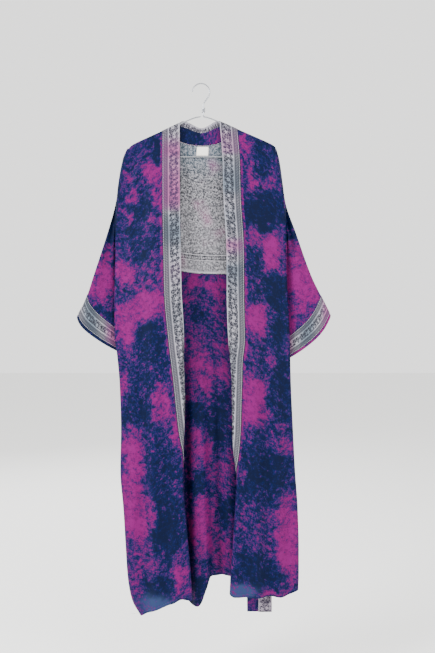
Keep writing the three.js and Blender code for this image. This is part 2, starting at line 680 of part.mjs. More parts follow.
function label() {
  const cells = [];
  for (let row = 0; row <= 3; row += 1) {
    cells.push([]);
    for (let column = 0; column <= 3; column += 1) {
      const x = mix(LABEL.left, LABEL.right, column / 3);
      const share = shareAtTop(x);
      const z = mix(LABEL.top, LABEL.bottom, row / 3);
      cells[row].push([share, dropTo(shoulderZ(x), z)]);
    }
  }
  const under = CLOTH + THIN_CLOTH + 3 * SEAM_GAP;
  return surfaceWall(backPoint, cells, [0.0002, 0.02], 1, -under, -THIN_CLOTH);
}

// Neck band: a strip from the neck seam of the back panel up to the free rim, as wide as the front bands.
// turn is
// -1 to 0 where its right end comes over the hanger's arm, 0 to 1 round the back and 1 to 2 at the left
// end.
const NECK_STATIONS = [-1, -0.66, -0.33, 0];
const NECK_ROUND = 17;
for (let i = 1; i < NECK_ROUND; i += 1) NECK_STATIONS.push(i / NECK_ROUND);
NECK_STATIONS.push(1, 1.33, 1.66, 2);
const NECK_SPANS = 4;

function neckPoint(turn, up) {
  const round = clamp(turn, 0, 1);
  const curl = turn < 0 ? 1 + turn : turn > 1 ? 2 - turn : 1;
  const half = NECK_HALF - 2 * SEAM_GAP - NECK_CURL * curl;
  const seamX = HANGER_MIDDLE + mix(-half, half, round);
  const share = shareAtTop(seamX);
  const drop = curl < 1 ? curl * curlLength : backStart(share);
  const seam = backPoint(share, drop);
  seam.z += 2 * SEAM_GAP * curl;
  const rim = new THREE.Vector3(
    table(NECK_RIM, "round", "x", round),
    table(NECK_RIM, "round", "y", round),
    table(NECK_RIM, "round", "z", round),
  );
  const point = seam.clone().lerp(rim, up);
  if (curl >= 1) return point;
  const over = backPoint(shareAtTop(mix(seamX, rim.x, up)), drop);
  return over.lerp(point, curl ** 4);
}

function neckBand() {
  const outer = [];
  const inner = [];
  for (const turn of NECK_STATIONS) {
    outer.push([]);
    inner.push([]);
    for (let span = 0; span <= NECK_SPANS; span += 1) {
      const up = span / NECK_SPANS;
      const point = neckPoint(turn, up);
      const normal = normalAt(neckPoint, clamp(turn, -0.98, 1.98), up, 0.01, 0.01, 1);
      if (turn === -1 || turn === 2) normal.set(0, 0, 1);
      if (normal.y < 0) normal.negate();
      outer[outer.length - 1].push(point);
      inner[inner.length - 1].push(point.clone().addScaledVector(normal, -CLOTH));
    }
  }
  return wall(outer, inner);
}

// Places round a sleeve, close together at its folds.
const UPPER_ROUND = [0, 0.0124, 0.066, 0.12, 0.175, 0.28, 0.388];
const ROUND_HALF = [...UPPER_ROUND, 0.51, 0.629, 0.735, 0.835, 0.9416, 0.9773, 0.9942];
const ROUND = [...ROUND_HALF, ...ROUND_HALF.map((share) => 1 + share)];
const ARM_ROWS = [0, 0.09, 0.19, 0.29, 0.4, 0.52, 0.64, 0.76, 0.88];
const CUFF_ROWS = [0, 0.5, 1];

// Place along the sleeve of a point of the cuff band, from 0 at its upper edge to 1 at its lower one.
function cuffAlong(isRight, round, share) {
  const length = sleeveLength(isRight, round <= 1 ? round : 2 - round);
  return 1 - mix(CUFF_BAND_WIDTH + CUFF_STRIP, CUFF_STRIP, share) / length;
}

function sleeve(isRight) {
  const surface = (along, round) => sleevePoint(isRight, along, round);
  const ringAt = (along) => ROUND.map((round) => [along(round), round]);
  const cells = ARM_ROWS.map((share) => ringAt((round) => share * cuffAlong(isRight, round, 0)));
  for (const share of CUFF_ROWS) cells.push(ringAt((round) => cuffAlong(isRight, round, share)));
  cells.push(ROUND.map((round) => [1, round]));
  return surfaceWall(surface, cells, [0.0005, 0.0005], isRight ? 1 : -1, 0, -CLOTH, true);
}

function cuffBand(isRight) {
  const surface = (along, round) => sleevePoint(isRight, along, round);
  const cells = CUFF_ROWS.map((share) => ROUND.map((round) => [cuffAlong(isRight, round, share), round]));
  return surfaceWall(surface, cells, [0.0005, 0.0005], isRight ? 1 : -1, SEAM_GAP, THIN_CLOTH, true);
}

// A strip with an oblong section swept along a path in the back's plane, turning with the path.
function strip(stations) {
  const rings = stations.map((station, i) => {
    const before = stations[Math.max(0, i - 1)].at;
    const after = stations[Math.min(stations.length - 1, i + 1)].at;
    const tangent = after.clone().sub(before).normalize();
    const across = new THREE.Vector3(0, 1, 0).cross(tangent).normalize();
    const out = tangent.clone().cross(across).normalize();
    return [
      [-0.5, -0.25],
      [-0.35, -0.5],
      [0.35, -0.5],
      [0.5, -0.25],
      [0.5, 0.25],
      [0.35, 0.5],
      [-0.35, 0.5],
      [-0.5, 0.25],
    ].map(([w, t]) =>
      station.at.clone().addScaledVector(across, w * station.width).addScaledVector(out, t * station.thick),
    );
  });
  return capped(rings);
}

// A closed tube through rings of points, with flat ends.
function capped(rings) {
  const size = rings[0].length;
  const points = rings.flat();
  const faces = [];
  for (let i = 0; i < rings.length - 1; i += 1) {
    for (let k = 0; k < size; k += 1) {
      const a = i * size + k;
      const b = i * size + ((k + 1) % size);
      faces.push([a, b, b + size], [a, b + size, a + size]);
    }
  }
  const last = (rings.length - 1) * size;
  for (let k = 1; k < size - 1; k += 1) {
    faces.push([0, k + 1, k], [last, last + k, last + k + 1]);
  }
  return closedBody(points, faces);
}

function belt() {
  const up = BELT.map((row) => ({ ...row, at: new THREE.Vector3(row.x, row.back, row.z) }));
  const crestY = loopBase(LOOP_X, LOOP_Z) + SEAM_GAP + BELT_GATHER_THICK / 2;
  const crest = {
    at: new THREE.Vector3(LOOP_X, crestY, LOOP_Z + 6),
    width: BELT_GATHER_WIDTH,
    thick: BELT_GATHER_THICK,
  };
  const down = [...BELT].reverse().map((row) => ({
    at: new THREE.Vector3(row.otherX, row.otherBack, row.z),
    width: row.otherWidth,
    thick: row.thick,
  }));
  const path = [...up, crest, ...down];
  const curve = new THREE.CatmullRomCurve3(path.map((row) => row.at), false, "centripetal");
  const stations = [];
  for (let i = 0; i <= BELT_STEPS; i += 1) {
    const t = i / BELT_STEPS;
    const place = t * (path.length - 1);
    const k = Math.min(Math.floor(place), path.length - 2);
    stations.push({
      at: curve.getPoint(t),
      width: mix(path[k].width, path[k + 1].width, place - k),
      thick: mix(path[k].thick, path[k + 1].thick, place - k),
    });
  }
  return strip(stations);
}

// How far behind the hanger's plane the back panel's outer face is at a place.
function loopBase(x, z) {
  const right = table(SIDE, "z", "right", z);
  const left = table(SIDE, "z", "left", z);
  const share = (x - right) / (left - right);
  return backPoint(share, dropTo(shoulderZ(topAtShare(share)), z)).y;
}

function beltLoop(x) {
  const outer = [];
  const inner = [];
  for (let i = 0; i <= LOOP_STEPS; i += 1) {
    const t = i / LOOP_STEPS;
    const z = mix(LOOP_Z + LOOP_HALF, LOOP_Z - LOOP_HALF, t);
    const stand = LOOP_STAND * rounded(Math.min(t, 1 - t) / 0.3);
    outer.push([]);
    inner.push([]);
    for (const w of [-0.5, 0.5]) {
      const place = x + w * LOOP_WIDTH;
      const y = loopBase(place, z) + SEAM_GAP + stand;
      inner[i].push(new THREE.Vector3(place, y, z));
      outer[i].push(new THREE.Vector3(place, y + THIN_CLOTH, z));
    }
  }
  return wall(outer, inner);
}

// Hanger

// A round wire along a curve.
function wire(curve, steps, radius) {
  const section = new THREE.Shape();
  for (let k = 0; k < WIRE_SIDES; k += 1) {
    const angle = (2 * Math.PI * k) / WIRE_SIDES;
    const x = radius * Math.cos(angle);
    const y = radius * Math.sin(angle);
    if (k === 0) section.moveTo(x, y);
    else section.lineTo(x, y);
  }
  section.closePath();
  return new THREE.ExtrudeGeometry(section, { steps, extrudePath: curve, bevelEnabled: false });
}

// Wire path: hook, neck, left arm, bar, right arm and back to the neck.
function hangerCurve() {
  const path = [];
  const add = (x, z) => path.push(new THREE.Vector3(x, 0, z));
  const centreZ = WIRE_RADIUS - HOOK_RADIUS;
  for (let k = 0; k <= 11; k += 1) {
    const angle = THREE.MathUtils.degToRad(mix(HOOK_TIP_ANGLE, HOOK_END_ANGLE, k / 11));
    add(HOOK_RADIUS * Math.cos(angle), centreZ + HOOK_RADIUS * Math.sin(angle));
  }
  add(15, -46);
  add(NECK_X + 1.5, NECK_TOP + 1);
  add(NECK_X, NECK_TOP - 10);
  add(NECK_X, mix(NECK_TOP, NECK_BOTTOM, 0.7));
  add(NECK_X + 1, NECK_BOTTOM);
  const arm = (out) => shoulderZ(HANGER_MIDDLE + out) - WIRE_DROP;
  for (const out of [16, 32, 60, 88, 115, 137, 160, 175, 188]) add(HANGER_MIDDLE + out, arm(out));
  add(HANGER_MIDDLE + HANGER_TIP - 3, arm(HANGER_TIP - 3));
  add(HANGER_MIDDLE + HANGER_TIP + 2.5, mix(arm(HANGER_TIP), HANGER_BAR_Z, 0.5));
  add(HANGER_MIDDLE + HANGER_TIP - HANGER_CORNER + 4, HANGER_BAR_Z + 2);
  add(HANGER_MIDDLE + HANGER_TIP - 2 * HANGER_CORNER, HANGER_BAR_Z);
  for (const out of [120, 0, -120]) add(HANGER_MIDDLE + out, HANGER_BAR_Z);
  add(HANGER_MIDDLE - HANGER_TIP + 2 * HANGER_CORNER, HANGER_BAR_Z);
  add(HANGER_MIDDLE - HANGER_TIP + HANGER_CORNER - 4, HANGER_BAR_Z + 2);
  add(HANGER_MIDDLE - HANGER_TIP - 2.5, mix(arm(HANGER_TIP), HANGER_BAR_Z, 0.5));
  add(HANGER_MIDDLE - HANGER_TIP + 3, arm(HANGER_TIP - 3));
  for (const out of [188, 175, 160, 137, 115, 88, 60, 32, 16, 4]) add(HANGER_MIDDLE - out, arm(out));
  return new THREE.CatmullRomCurve3(path, false, "centripetal");
}

// The wire's short end, wound round the neck.
function twistCurve() {
  const turns = 2.5;
  const radius = 2 * WIRE_RADIUS + SEAM_GAP;
  const points = [];
  for (let k = 0; k <= 30; k += 1) {
    const angle = 2 * Math.PI * turns * (k / 30);
    points.push(
      new THREE.Vector3(NECK_X + radius * Math.cos(angle), radius * Math.sin(angle), mix(-70, -82, k / 30)),
    );
  }
  return new THREE.CatmullRomCurve3(points);
}

// Finishes
function finish(color, roughness, metalness = 0) {
  return new THREE.MeshStandardMaterial({ color, roughness, metalness });
}
const dyedSilk = () => finish(0x5a3f86, 0.55);
const wovenBorder = () => finish(0x9b93a4, 0.6);
const heatheredLining = () => finish(0x9c9aa0, 0.75);
const plainTape = () => finish(0xe9e6de, 0.7);
const wireSteel = () => finish(0xc9ccd0, 0.3, 0.9);

function piece(name, geometry, material) {
  const mesh = new THREE.Mesh(geometry, material);
  mesh.name = name;
  return mesh;
}

const robe = new THREE.Group();
robe.add(
  piece("back_panel", backPanel(), dyedSilk()),
  piece("front_panel_right", frontPanel(RIGHT), dyedSilk()),
  piece("front_panel_left", frontPanel(LEFT), dyedSilk()),
  piece("sleeve_right", sleeve(true), dyedSilk()),
  piece("sleeve_left", sleeve(false), dyedSilk()),
  piece("cuff_band_right", cuffBand(true), wovenBorder()),
  piece("cuff_band_left", cuffBand(false), wovenBorder()),
  piece("front_band_right", frontBand(RIGHT), wovenBorder()),
  piece("front_band_left", frontBand(LEFT), wovenBorder()),
  piece("neck_band", neckBand(), wovenBorder()),
  piece("back_lining", lining(), heatheredLining()),
  piece("neck_label", label(), plainTape()),
  piece("belt", belt(), wovenBorder()),
  piece("belt_loop_right", beltLoop(-LOOP_X), dyedSilk()),
  piece("belt_loop_left", beltLoop(LOOP_X), dyedSilk()),
);

const hanger = new THREE.Group();
hanger.add(
  piece("hanger_wire", wire(hangerCurve(), 96, WIRE_RADIUS), wireSteel()),
  piece("hanger_twist", wire(twistCurve(), 30, WIRE_RADIUS - 0.15), wireSteel()),
);

const part = new THREE.Group();
part.add(robe, hanger);

export default part;
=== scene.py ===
"""An open kimono robe of tie-dyed silk on a wire hanger: its cloth, woven borders, sewing and hanger."""

import math

import bpy
import numpy as np
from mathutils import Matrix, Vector


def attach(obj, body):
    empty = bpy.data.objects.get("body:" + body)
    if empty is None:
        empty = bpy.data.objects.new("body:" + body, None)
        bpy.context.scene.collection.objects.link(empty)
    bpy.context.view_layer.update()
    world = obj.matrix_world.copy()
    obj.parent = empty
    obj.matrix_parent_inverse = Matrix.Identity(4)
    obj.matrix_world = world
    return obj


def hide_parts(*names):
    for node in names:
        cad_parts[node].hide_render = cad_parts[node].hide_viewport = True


bl_info = {
    "name": "Hanging kimono robe",
    "version": (1, 0, 0),
    "blender": (4, 5, 0),
    "location": "3D View > Sidebar > Robe",
    "description": "Makes a tie-dyed kimono robe with woven borders on a wire hanger",
    "category": "Object",
}

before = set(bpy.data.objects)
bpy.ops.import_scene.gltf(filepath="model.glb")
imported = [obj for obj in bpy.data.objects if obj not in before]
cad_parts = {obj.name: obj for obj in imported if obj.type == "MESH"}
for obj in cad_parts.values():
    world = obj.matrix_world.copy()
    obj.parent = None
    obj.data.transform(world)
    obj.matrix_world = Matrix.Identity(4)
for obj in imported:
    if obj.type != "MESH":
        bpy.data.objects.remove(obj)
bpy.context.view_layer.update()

MM = 0.001

# Sizes that the solids share, in millimetres
SEAM_GAP = 0.3
BAND_WIDTH = 50.0
CUFF_BAND_WIDTH = 58.0
CUFF_STRIP = 8.0
TURN_RADIUS = 5.5
SIDE_DEPTH = 9.0
SIDE_ROUND = 14.0
SHOULDER_FALL = 120.0
BODY_SWELL = 130.0
EDGE_BLEND = 28.0
FOLD_FADE = 24.0
UNDERARM_BLEND = 150.0
WIRE_RADIUS = 1.75
HOOK_RADIUS = 25.0
HOOK_TIP_ANGLE = 175.0
HOOK_END_ANGLE = -28.0
NECK_X = 7.0
NECK_TOP = -57.0
NECK_BOTTOM = -94.0
HANGER_MIDDLE = 2.0
HANGER_BAR_Z = -211.0
HANGER_TIP = 197.0
HANGER_CORNER = 9.0
SHOULDER_RADIUS = WIRE_RADIUS + 0.35 + 1.5
WIRE_DROP = SHOULDER_RADIUS * 1.1 + 0.35
CURL_LENGTH = SHOULDER_RADIUS * math.pi / 2
NECK_HALF = 113.0
NECK_CURL = 5.0
ARMHOLE_TOP = -187.0
ARMHOLE_BOTTOM = -478.0
ARMHOLE_SPREAD = 24.0
ARMHOLE_ROUND = 14.0
SLEEVE_DEPTH = 8.0
SLEEVE_ROUND = 0.05
CLOSING_GAP = 1.4
SLEEVE_BACK = 10.0
SLEEVE_TUCK = 14.0
BACK_OUTER = 0.2
BACK_INNER = 0.07
LINING_HALF = 172.0
LINING_TOP_DROP = 12.0
LABEL_LEFT = -12.0
LABEL_RIGHT = 22.0
LABEL_TOP = -181.0
LABEL_BOTTOM = -207.0
LOOP_X = 168.0
LOOP_Z = -594.0
LOOP_HALF = 17.0
LOOP_WIDTH = 7.0
LOOP_STAND = 7.0

# Heights at which a front's width is taken, and the cut length that the rows are crowded by
TOP_Z = -125.0
HEM_Z = -1500.0
CUT_LENGTH = 1400.0

# Fine creases and ripples: how deep they are, and the height at which they begin
FRONT_CREASE = 2.0
BACK_CREASE = 1.6
FRONT_CREASE_Z = -150
BACK_CREASE_Z = -160
CREASE_WAVER = 0.35
CREASE_UNEVEN = 0.4
RIPPLES = (
    # depth, cell along x, cell along z
    (1.6, 46, 190),
    (0.6, 17, 62),
)

# Form of the sleeves: shares of their length, and the tuck behind the body in millimetres
FLAT_BY = 0.3
WAVE_BY = 0.4
CREASED_BY = 0.35
WAVE_DEPTH = 2.2
TUCK_FROM = 45
TUCK_OVER = 55

# Directions that the two faces of the cloth look in
FRONT = (0, -1, 0)
BACK = (0, 1, 0)

# Columns and rows of the meshes
FRONT_COLUMNS = 38
FRONT_ROWS = 236
BACK_COLUMNS = 104
BACK_ROWS = 230
SLEEVE_COLUMNS = 52
SLEEVE_ROWS = 84
SLEEVE_CROWD = (0.003, 0.008, 0.014, 0.03)

# Sewing: the thread's radius in metres, and a line of stitches with its neighbours a step to either side
STITCH_RADIUS = 0.28 * MM
THREE = np.array([[-1.0], [0.0], [1.0]])

# Dyeing: tones run from 0 deep navy to 1 magenta, and the selvedge lies by the band
HEM_TONE = 0.12
HEM_TONE_REACH = 5
SELVEDGE_TONE = 0.64
SELVEDGE_WIDTH = 8.5
PLAIN_TONE = 0.4
LOOP_TONE = 0.35
DYE_BLOOM = 84.0
FLORET_REACH = 0.42
MOTTLE_MIDDLE = 2.65
DYE_STOPS = (0.0, 0.3, 0.47, 0.62, 1.0)
DYE_WARPS = (
    # reach, cell along x, cell along z, seed: first the one that moves x, then the one that moves z
    ((34, 27, 31, 61), (38, 29, 26, 67)),
    ((14, 10, 11, 71), (14, 11, 10, 73)),
)
# Where the cloth of a piece starts in the dye, in metres, so that no two pieces match
DYE_PLACE = {
    "right": 3.0, "left": 6.0, "back": 9.0, "sleeve_right": 12.0, "sleeve_left": 15.0,
    "belt": 7.0, "loop": 20.0,
}
# Middle and half sizes of the places at the hem corners where the thin single cloth gets a painted sheen and
# painted light showing through it
PAINTED_SHEEN_CORNERS = ((-128, -1506, 42, 24), (112, -1458, 34, 16))

# Threads in each metre
SILK_THREADS = 1100.0
BORDER_THREADS = 800.0
LINING_THREADS = 700.0
TAPE_THREADS = 1300.0

# Woven border and lining, in millimetres
LADDER_WIDTH = 16.0
LADDER_MIDDLE = 8.4
RAIL_OUT = 6.1
RUNG_PITCH = 4.6
FLOWER_CELL = 14.5
CURL_CELL = 7.5
PETALS = 5.0
DOT_PITCH = 5.2
DOTTED_ROW = 46.0
LIGHT_ROWS = (38.0, 54.5, 4.0)
DARK_ROW = 47.0

# Stage
VIEW_MIDDLE = (0.0479, 0.0, -0.703)
SENSOR_HEIGHT = 24.0
FLOOR_REACH = 14.0
WORLD_STRENGTH = 1.85
LAMPS = (
    # name, place, size, share of the power
    ("key_light", (-2.8, -1.9, 0.9), 1.2, 1.6),
    ("fill_light", (2.2, -2.4, 0.2), 2.4, 0.9),
    ("back_light", (-1.4, 2.8, 0.8), 2.2, 0.6),
)


def columns(names, *rows):
    """A table with named columns."""
    values = np.array(rows, float)
    return {name: values[:, i] for i, name in enumerate(names.split())}


SHOULDER = columns(
    "out z",
    (0, -90), (14, -92), (60, -110.5), (115, -136), (160, -156.5), (190, -170.5), (204, -178.5),
    (212, -187),
)
SIDE = columns(
    "z right left",
    (-187, -212.5, 216.5), (-220, -219.5, 219), (-265, -227.5, 227), (-310, -233, 235), (-409, -244, 243),
    (-510, -249, 247), (-600, -251.5, 251), (-720, -251, 257), (-790, -243, 259), (-870, -236, 261),
    (-1003, -232, 267), (-1119, -234, 273), (-1235, -225, 281), (-1351, -218, 284), (-1420, -213.5, 284),
    (-1467, -207, 282), (-1500, -198, 280), (-1544, -172, 278),
)
OPENING_RIGHT = columns(
    "z edge band turn",
    (-110, -61.5, 50, 0), (-336, -60, 50, 0), (-481, -57, 50, 0), (-600, -54, 50, 0), (-742, -50, 42, 70),
    (-858, -46, 32, 130), (-916, -45, 27, 155), (-1003, -47, 15, 165), (-1070, -49, 0, 168),
    (-1150, -49, -12, 170), (-1280, -39, -16, 170), (-1409, -28, -16, 170), (-1500, -23, -16, 168),
)
OPENING_LEFT = columns(
    "z edge band turn",
    (-110, 53.5, 50, 0), (-220, 62, 50, 0), (-336, 65, 50, 0), (-481, 73, 50, 0), (-626, 74, 50, 0),
    (-742, 80, 46, 60), (-800, 84, 36, 120), (-870, 89, 29, 150), (-1003, 90, 24, 165),
    (-1070, 94, 14, 168), (-1125, 102, -4, 170), (-1200, 99, -14, 170), (-1300, 92, -16, 170),
    (-1420, 84, -16, 170), (-1500, 81, -16, 168),
)
DEPTH = columns(
    "z front back",
    (-110, 0, 0), (-250, 8, 1), (-450, 20, 3), (-700, 27, 4), (-1100, 30, 6), (-1550, 29, 8),
)
HEM_RIGHT = columns(
    "share z",
    (0, -1544), (0.12, -1540), (0.27, -1525), (0.6, -1496), (0.76, -1480), (0.93, -1485), (1.4, -1480),
)
HEM_LEFT = columns(
    "share z",
    (0, -1466), (0.22, -1481), (0.36, -1476), (0.86, -1475), (0.94, -1466), (1.4, -1460),
)
HEM_BACK = columns(
    "x z",
    (-172, -1541), (-128, -1512), (-78, -1480), (-42, -1475), (-27, -1498), (-12, -1513), (2, -1513),
    (16, -1502), (36, -1457), (46, -1432), (84, -1430), (160, -1437), (230, -1455), (280, -1465),
)
FRONT_FOLDS = (
    # x, from, lean, grow, width, depth, flat
    (-196, -300, 0.0, 900, 17, 5, 1), (-168, -260, 0.004, 900, 13, -4, 1),
    (-146, -420, 0.012, 800, 17, 7, 1.3), (-112, -500, 0.02, 800, 13, -6, 1),
    (-92, -640, 0.026, 700, 13, 4, 1), (124, -560, 0.006, 800, 14, -5, 1),
    (148, -430, 0.01, 900, 17, 7, 1.3), (178, -300, 0.012, 900, 13, -6, 1),
    (206, -330, 0.018, 900, 18, 6, 1.2), (234, -620, 0.02, 800, 12, -3, 1),
)
BACK_FOLDS = (
    # x, from, lean, grow, width, depth, flat
    (-20, -640, 0.026, 520, 26, 24, 2.4), (42, -560, 0.022, 600, 11, -8, 1),
    (76, -700, 0.018, 700, 14, 6, 1), (116, -620, 0.018, 800, 16, -9, 1.2),
    (150, -860, 0.02, 600, 14, 8, 1), (196, -880, 0.03, 600, 18, -8, 1.2),
    (236, -900, 0.03, 600, 12, 4, 1), (-62, -600, 0.02, 700, 13, -9, 1),
    (-104, -560, 0.012, 800, 18, 7, 1.2), (-146, -850, 0.01, 620, 15, -9, 1),
    (-186, -900, 0.01, 600, 14, 5, 1),
)
NECK_EDGE = columns("out z", (0, -177.5), (34, -174.5), (60, -167), (90, -152.5), (108, -136.5))
NECK_RIM = columns(
    "round x y z",
    (0, -61, 3.8, -113.5), (0.06, -59.5, 5.4, -109), (0.14, -54, 7.4, -105.5), (0.25, -40, 10.5, -108.5),
    (0.5, 1, 13.5, -124.7), (0.75, 39, 10.5, -108), (0.86, 49, 7.4, -104.5), (0.94, 52.5, 5.4, -106.5),
    (1, 53.5, 3.8, -110.5),
)
SLEEVE_RIGHT = columns(
    "along outerX outerZ innerX innerZ",
    (0, -213.5, -187, -248, -478), (0.07, -228, -221, -249.5, -501), (0.17, -236.5, -278, -246, -537),
    (0.3, -247.5, -338, -236, -583), (0.5, -272, -430, -207, -653), (0.75, -311, -551, -165, -741),
    (0.91, -337, -628, -139, -797), (1, -360, -672, -125, -829),
)
SLEEVE_LEFT = columns(
    "along outerX outerZ innerX innerZ",
    (0, 217.5, -187, 246, -478), (0.07, 227.5, -221, 247.5, -501), (0.17, 237.5, -278, 245, -540),
    (0.3, 246, -338, 239, -589), (0.5, 276, -430, 222, -663), (0.75, 321, -556, 192, -756),
    (0.91, 357, -630, 173, -815), (1, 377, -670, 162, -848),
)
LINING_BOTTOM = columns("x z", (-190, -536), (-55, -542), (0, -549), (72, -551), (190, -553))
BELT = columns(
    "z x back width otherX otherBack otherWidth thick",
    (-1545, 152, 38, 33, 188.5, 34.5, 40, 2), (-1400, 152, 38, 36, 188.5, 34.5, 39, 2),
    (-1150, 151, 38, 36, 189, 34.5, 38, 2), (-950, 150, 38, 36, 190, 36, 37, 2),
    (-850, 148, 39, 36, 192, 39, 36, 2), (-780, 148, 38, 34, 192, 38, 34, 2),
    (-705, 149, 32, 30, 191, 32, 30, 2.4), (-650, 151, 22.5, 22, 189, 22.5, 22, 3.2),
    (-625, 150, 17.6, 17, 190, 17.6, 17, 4),
)

# Dye patches: centre, half sizes and tone, from 0 deep navy over 0.5 mottled to 1 magenta
PATCHES_FRONT_RIGHT = (
    # x, z, half width, half height, tone
    (-150, -240, 110, 120, 0.34), (-128, -190, 20, 60, 0.06), (-140, -262, 30, 27, 0.92),
    (-213, -282, 16, 20, 0.86), (-165, -410, 62, 85, 0.2), (-128, -335, 16, 26, 0.8),
    (-134, -402, 16, 18, 0.78), (-198, -330, 14, 14, 0.7), (-208, -395, 14, 22, 0.66),
    (-160, -432, 18, 14, 0.62), (-200, -480, 36, 36, 0.42), (-128, -525, 26, 34, 0.5),
    (-165, -492, 26, 22, 0.12), (-226, -556, 22, 34, 0.96), (-152, -642, 46, 54, 0.97),
    (-214, -700, 32, 66, 0.98), (-212, -614, 16, 18, 0.3), (-138, -752, 40, 62, 0.12),
    (-140, -830, 52, 56, 0.26), (-222, -880, 12, 42, 0.74), (-178, -950, 40, 58, 0.14),
    (-104, -912, 22, 50, 0.88), (-78, -1000, 14, 48, 0.84), (-196, -1080, 38, 78, 0.97),
    (-118, -1120, 50, 96, 0.24), (-190, -1240, 44, 96, 0.97), (-150, -1235, 22, 40, 0.9),
    (-98, -1290, 50, 128, 0.1), (-158, -1380, 52, 42, 0.56), (-54, -1412, 20, 46, 0.9),
    (-140, -1462, 52, 36, 0.14), (-196, -1466, 18, 52, 0.62),
)
PATCHES_FRONT_LEFT = (
    (160, -250, 90, 120, 0.4), (130, -182, 24, 34, 0.84), (188, -190, 44, 42, 0.16),
    (138, -250, 18, 24, 0.72), (160, -290, 22, 20, 0.8), (196, -300, 16, 18, 0.74),
    (186, -262, 22, 22, 0.24), (184, -376, 66, 64, 0.03), (152, -446, 34, 20, 0.68),
    (212, -492, 32, 58, 0.98), (150, -520, 30, 50, 0.24), (206, -602, 48, 40, 0.08),
    (150, -585, 22, 20, 0.34), (160, -686, 34, 58, 0.97), (226, -690, 28, 66, 0.08),
    (176, -790, 48, 24, 0.42), (206, -802, 14, 18, 0.86), (150, -918, 38, 68, 0.99),
    (228, -880, 40, 110, 0.14), (232, -1044, 38, 36, 0.74), (186, -1120, 84, 84, 0.09),
    (134, -1130, 16, 16, 0.7), (176, -1300, 58, 82, 0.42), (252, -1330, 34, 122, 0.98),
    (160, -1408, 72, 44, 0.1), (192, -1462, 34, 20, 0.76), (122, -1440, 26, 22, 0.5),
    (236, -1225, 20, 24, 0.84),
)
PATCHES_BACK_INSIDE = (
    (0, -800, 400, 600, 0.5), (-18, -562, 18, 20, 0.86), (48, -580, 26, 26, 0.86),
    (0, -668, 22, 30, 0.22), (-2, -820, 32, 28, 0.88), (20, -886, 18, 34, 0.86), (70, -842, 20, 34, 0.84),
    (-10, -964, 40, 26, 0.14), (52, -976, 38, 92, 0.12), (-10, -1062, 34, 56, 0.76),
    (70, -1142, 34, 52, 0.62), (-2, -1164, 30, 30, 0.12), (6, -1280, 30, 76, 0.88),
    (74, -1255, 26, 66, 0.14), (58, -1368, 20, 56, 0.66), (-30, -1330, 10, 70, 0.3),
    (4, -1466, 34, 44, 0.12), (-150, -900, 60, 160, 0.85), (170, -800, 70, 120, 0.9),
    (-170, -300, 60, 120, 0.2), (150, -360, 50, 90, 0.75), (-90, -1250, 40, 100, 0.15),
    (190, -1200, 60, 120, 0.2), (-140, -1400, 50, 70, 0.85),
)
PATCHES_SLEEVE_RIGHT = (
    (-250, -400, 120, 160, 0.1), (-258, -476, 30, 30, 0.42), (-276, -560, 46, 66, 0.95),
    (-246, -592, 15, 42, 0.16), (-318, -604, 26, 24, 0.85), (-330, -690, 60, 30, 0.3),
    (-180, -700, 60, 90, 0.8), (-230, -700, 34, 60, 0.2),
)
PATCHES_SLEEVE_LEFT = (
    (250, -400, 120, 160, 0.08), (242, -345, 10, 26, 0.7), (262, -462, 24, 24, 0.5),
    (286, -560, 56, 92, 0.97), (272, -620, 14, 18, 0.6), (330, -600, 40, 40, 0.9),
    (370, -690, 60, 30, 0.9), (200, -720, 60, 90, 0.2), (240, -690, 30, 50, 0.85),
)

# Hue of the border's threads by height, from 0 teal over 0.5 silver to 1 pink
HUE_RIGHT = columns(
    "z hue",
    (-120, 0.5), (-150, 0.62), (-172, 0.8), (-196, 0.92), (-225, 0.8), (-255, 0.85), (-330, 0.95),
    (-368, 0.72), (-385, 0.25), (-440, 0.1), (-490, 0.4), (-540, 0.62), (-600, 0.5), (-680, 0.35),
    (-760, 0.55), (-850, 0.45), (-1500, 0.5),
)
HUE_LEFT = columns(
    "z hue",
    (-120, 0.5), (-150, 0.72), (-195, 0.75), (-225, 0.3), (-300, 0.12), (-345, 0.45), (-380, 0.3),
    (-430, 0.4), (-470, 0.85), (-500, 0.6), (-540, 0.15), (-600, 0.3), (-690, 0.5), (-800, 0.35),
    (-900, 0.5), (-1500, 0.5),
)

# Creases in the cloth: middle, half length, lean from upright, half width and depth, above 0 standing out
CREASES_FRONT = (
    # x, z, length, lean, width, depth
    (-186, -262, 90, 16, 7, 1.1), (-158, -300, 120, 6, 9, -0.9), (-205, -420, 110, 4, 8, 0.9),
    (-136, -420, 130, -5, 8, 0.8), (-180, -560, 120, 3, 10, -1.0), (-120, -640, 150, -3, 8, 0.9),
    (-215, -700, 100, 8, 7, 0.9), (-160, -860, 170, 2, 8, 0.9), (-98, -1150, 160, -3, 7, -0.9),
    (-190, -1230, 150, 4, 9, 0.9), (-130, -1440, 70, -14, 8, 0.8), (190, -262, 90, -16, 7, 1.1),
    (160, -310, 120, -6, 9, -0.9), (214, -430, 110, -4, 8, 0.9), (150, -560, 140, 4, 8, 0.8),
    (226, -620, 120, -6, 8, -0.9), (182, -760, 150, -3, 9, 0.9), (136, -900, 150, 3, 7, 0.8),
    (220, -1000, 160, -5, 8, 0.9), (168, -1240, 170, 2, 8, -0.9), (250, -1300, 120, -4, 8, 0.9),
    (130, -1420, 60, 12, 8, 0.8),
)
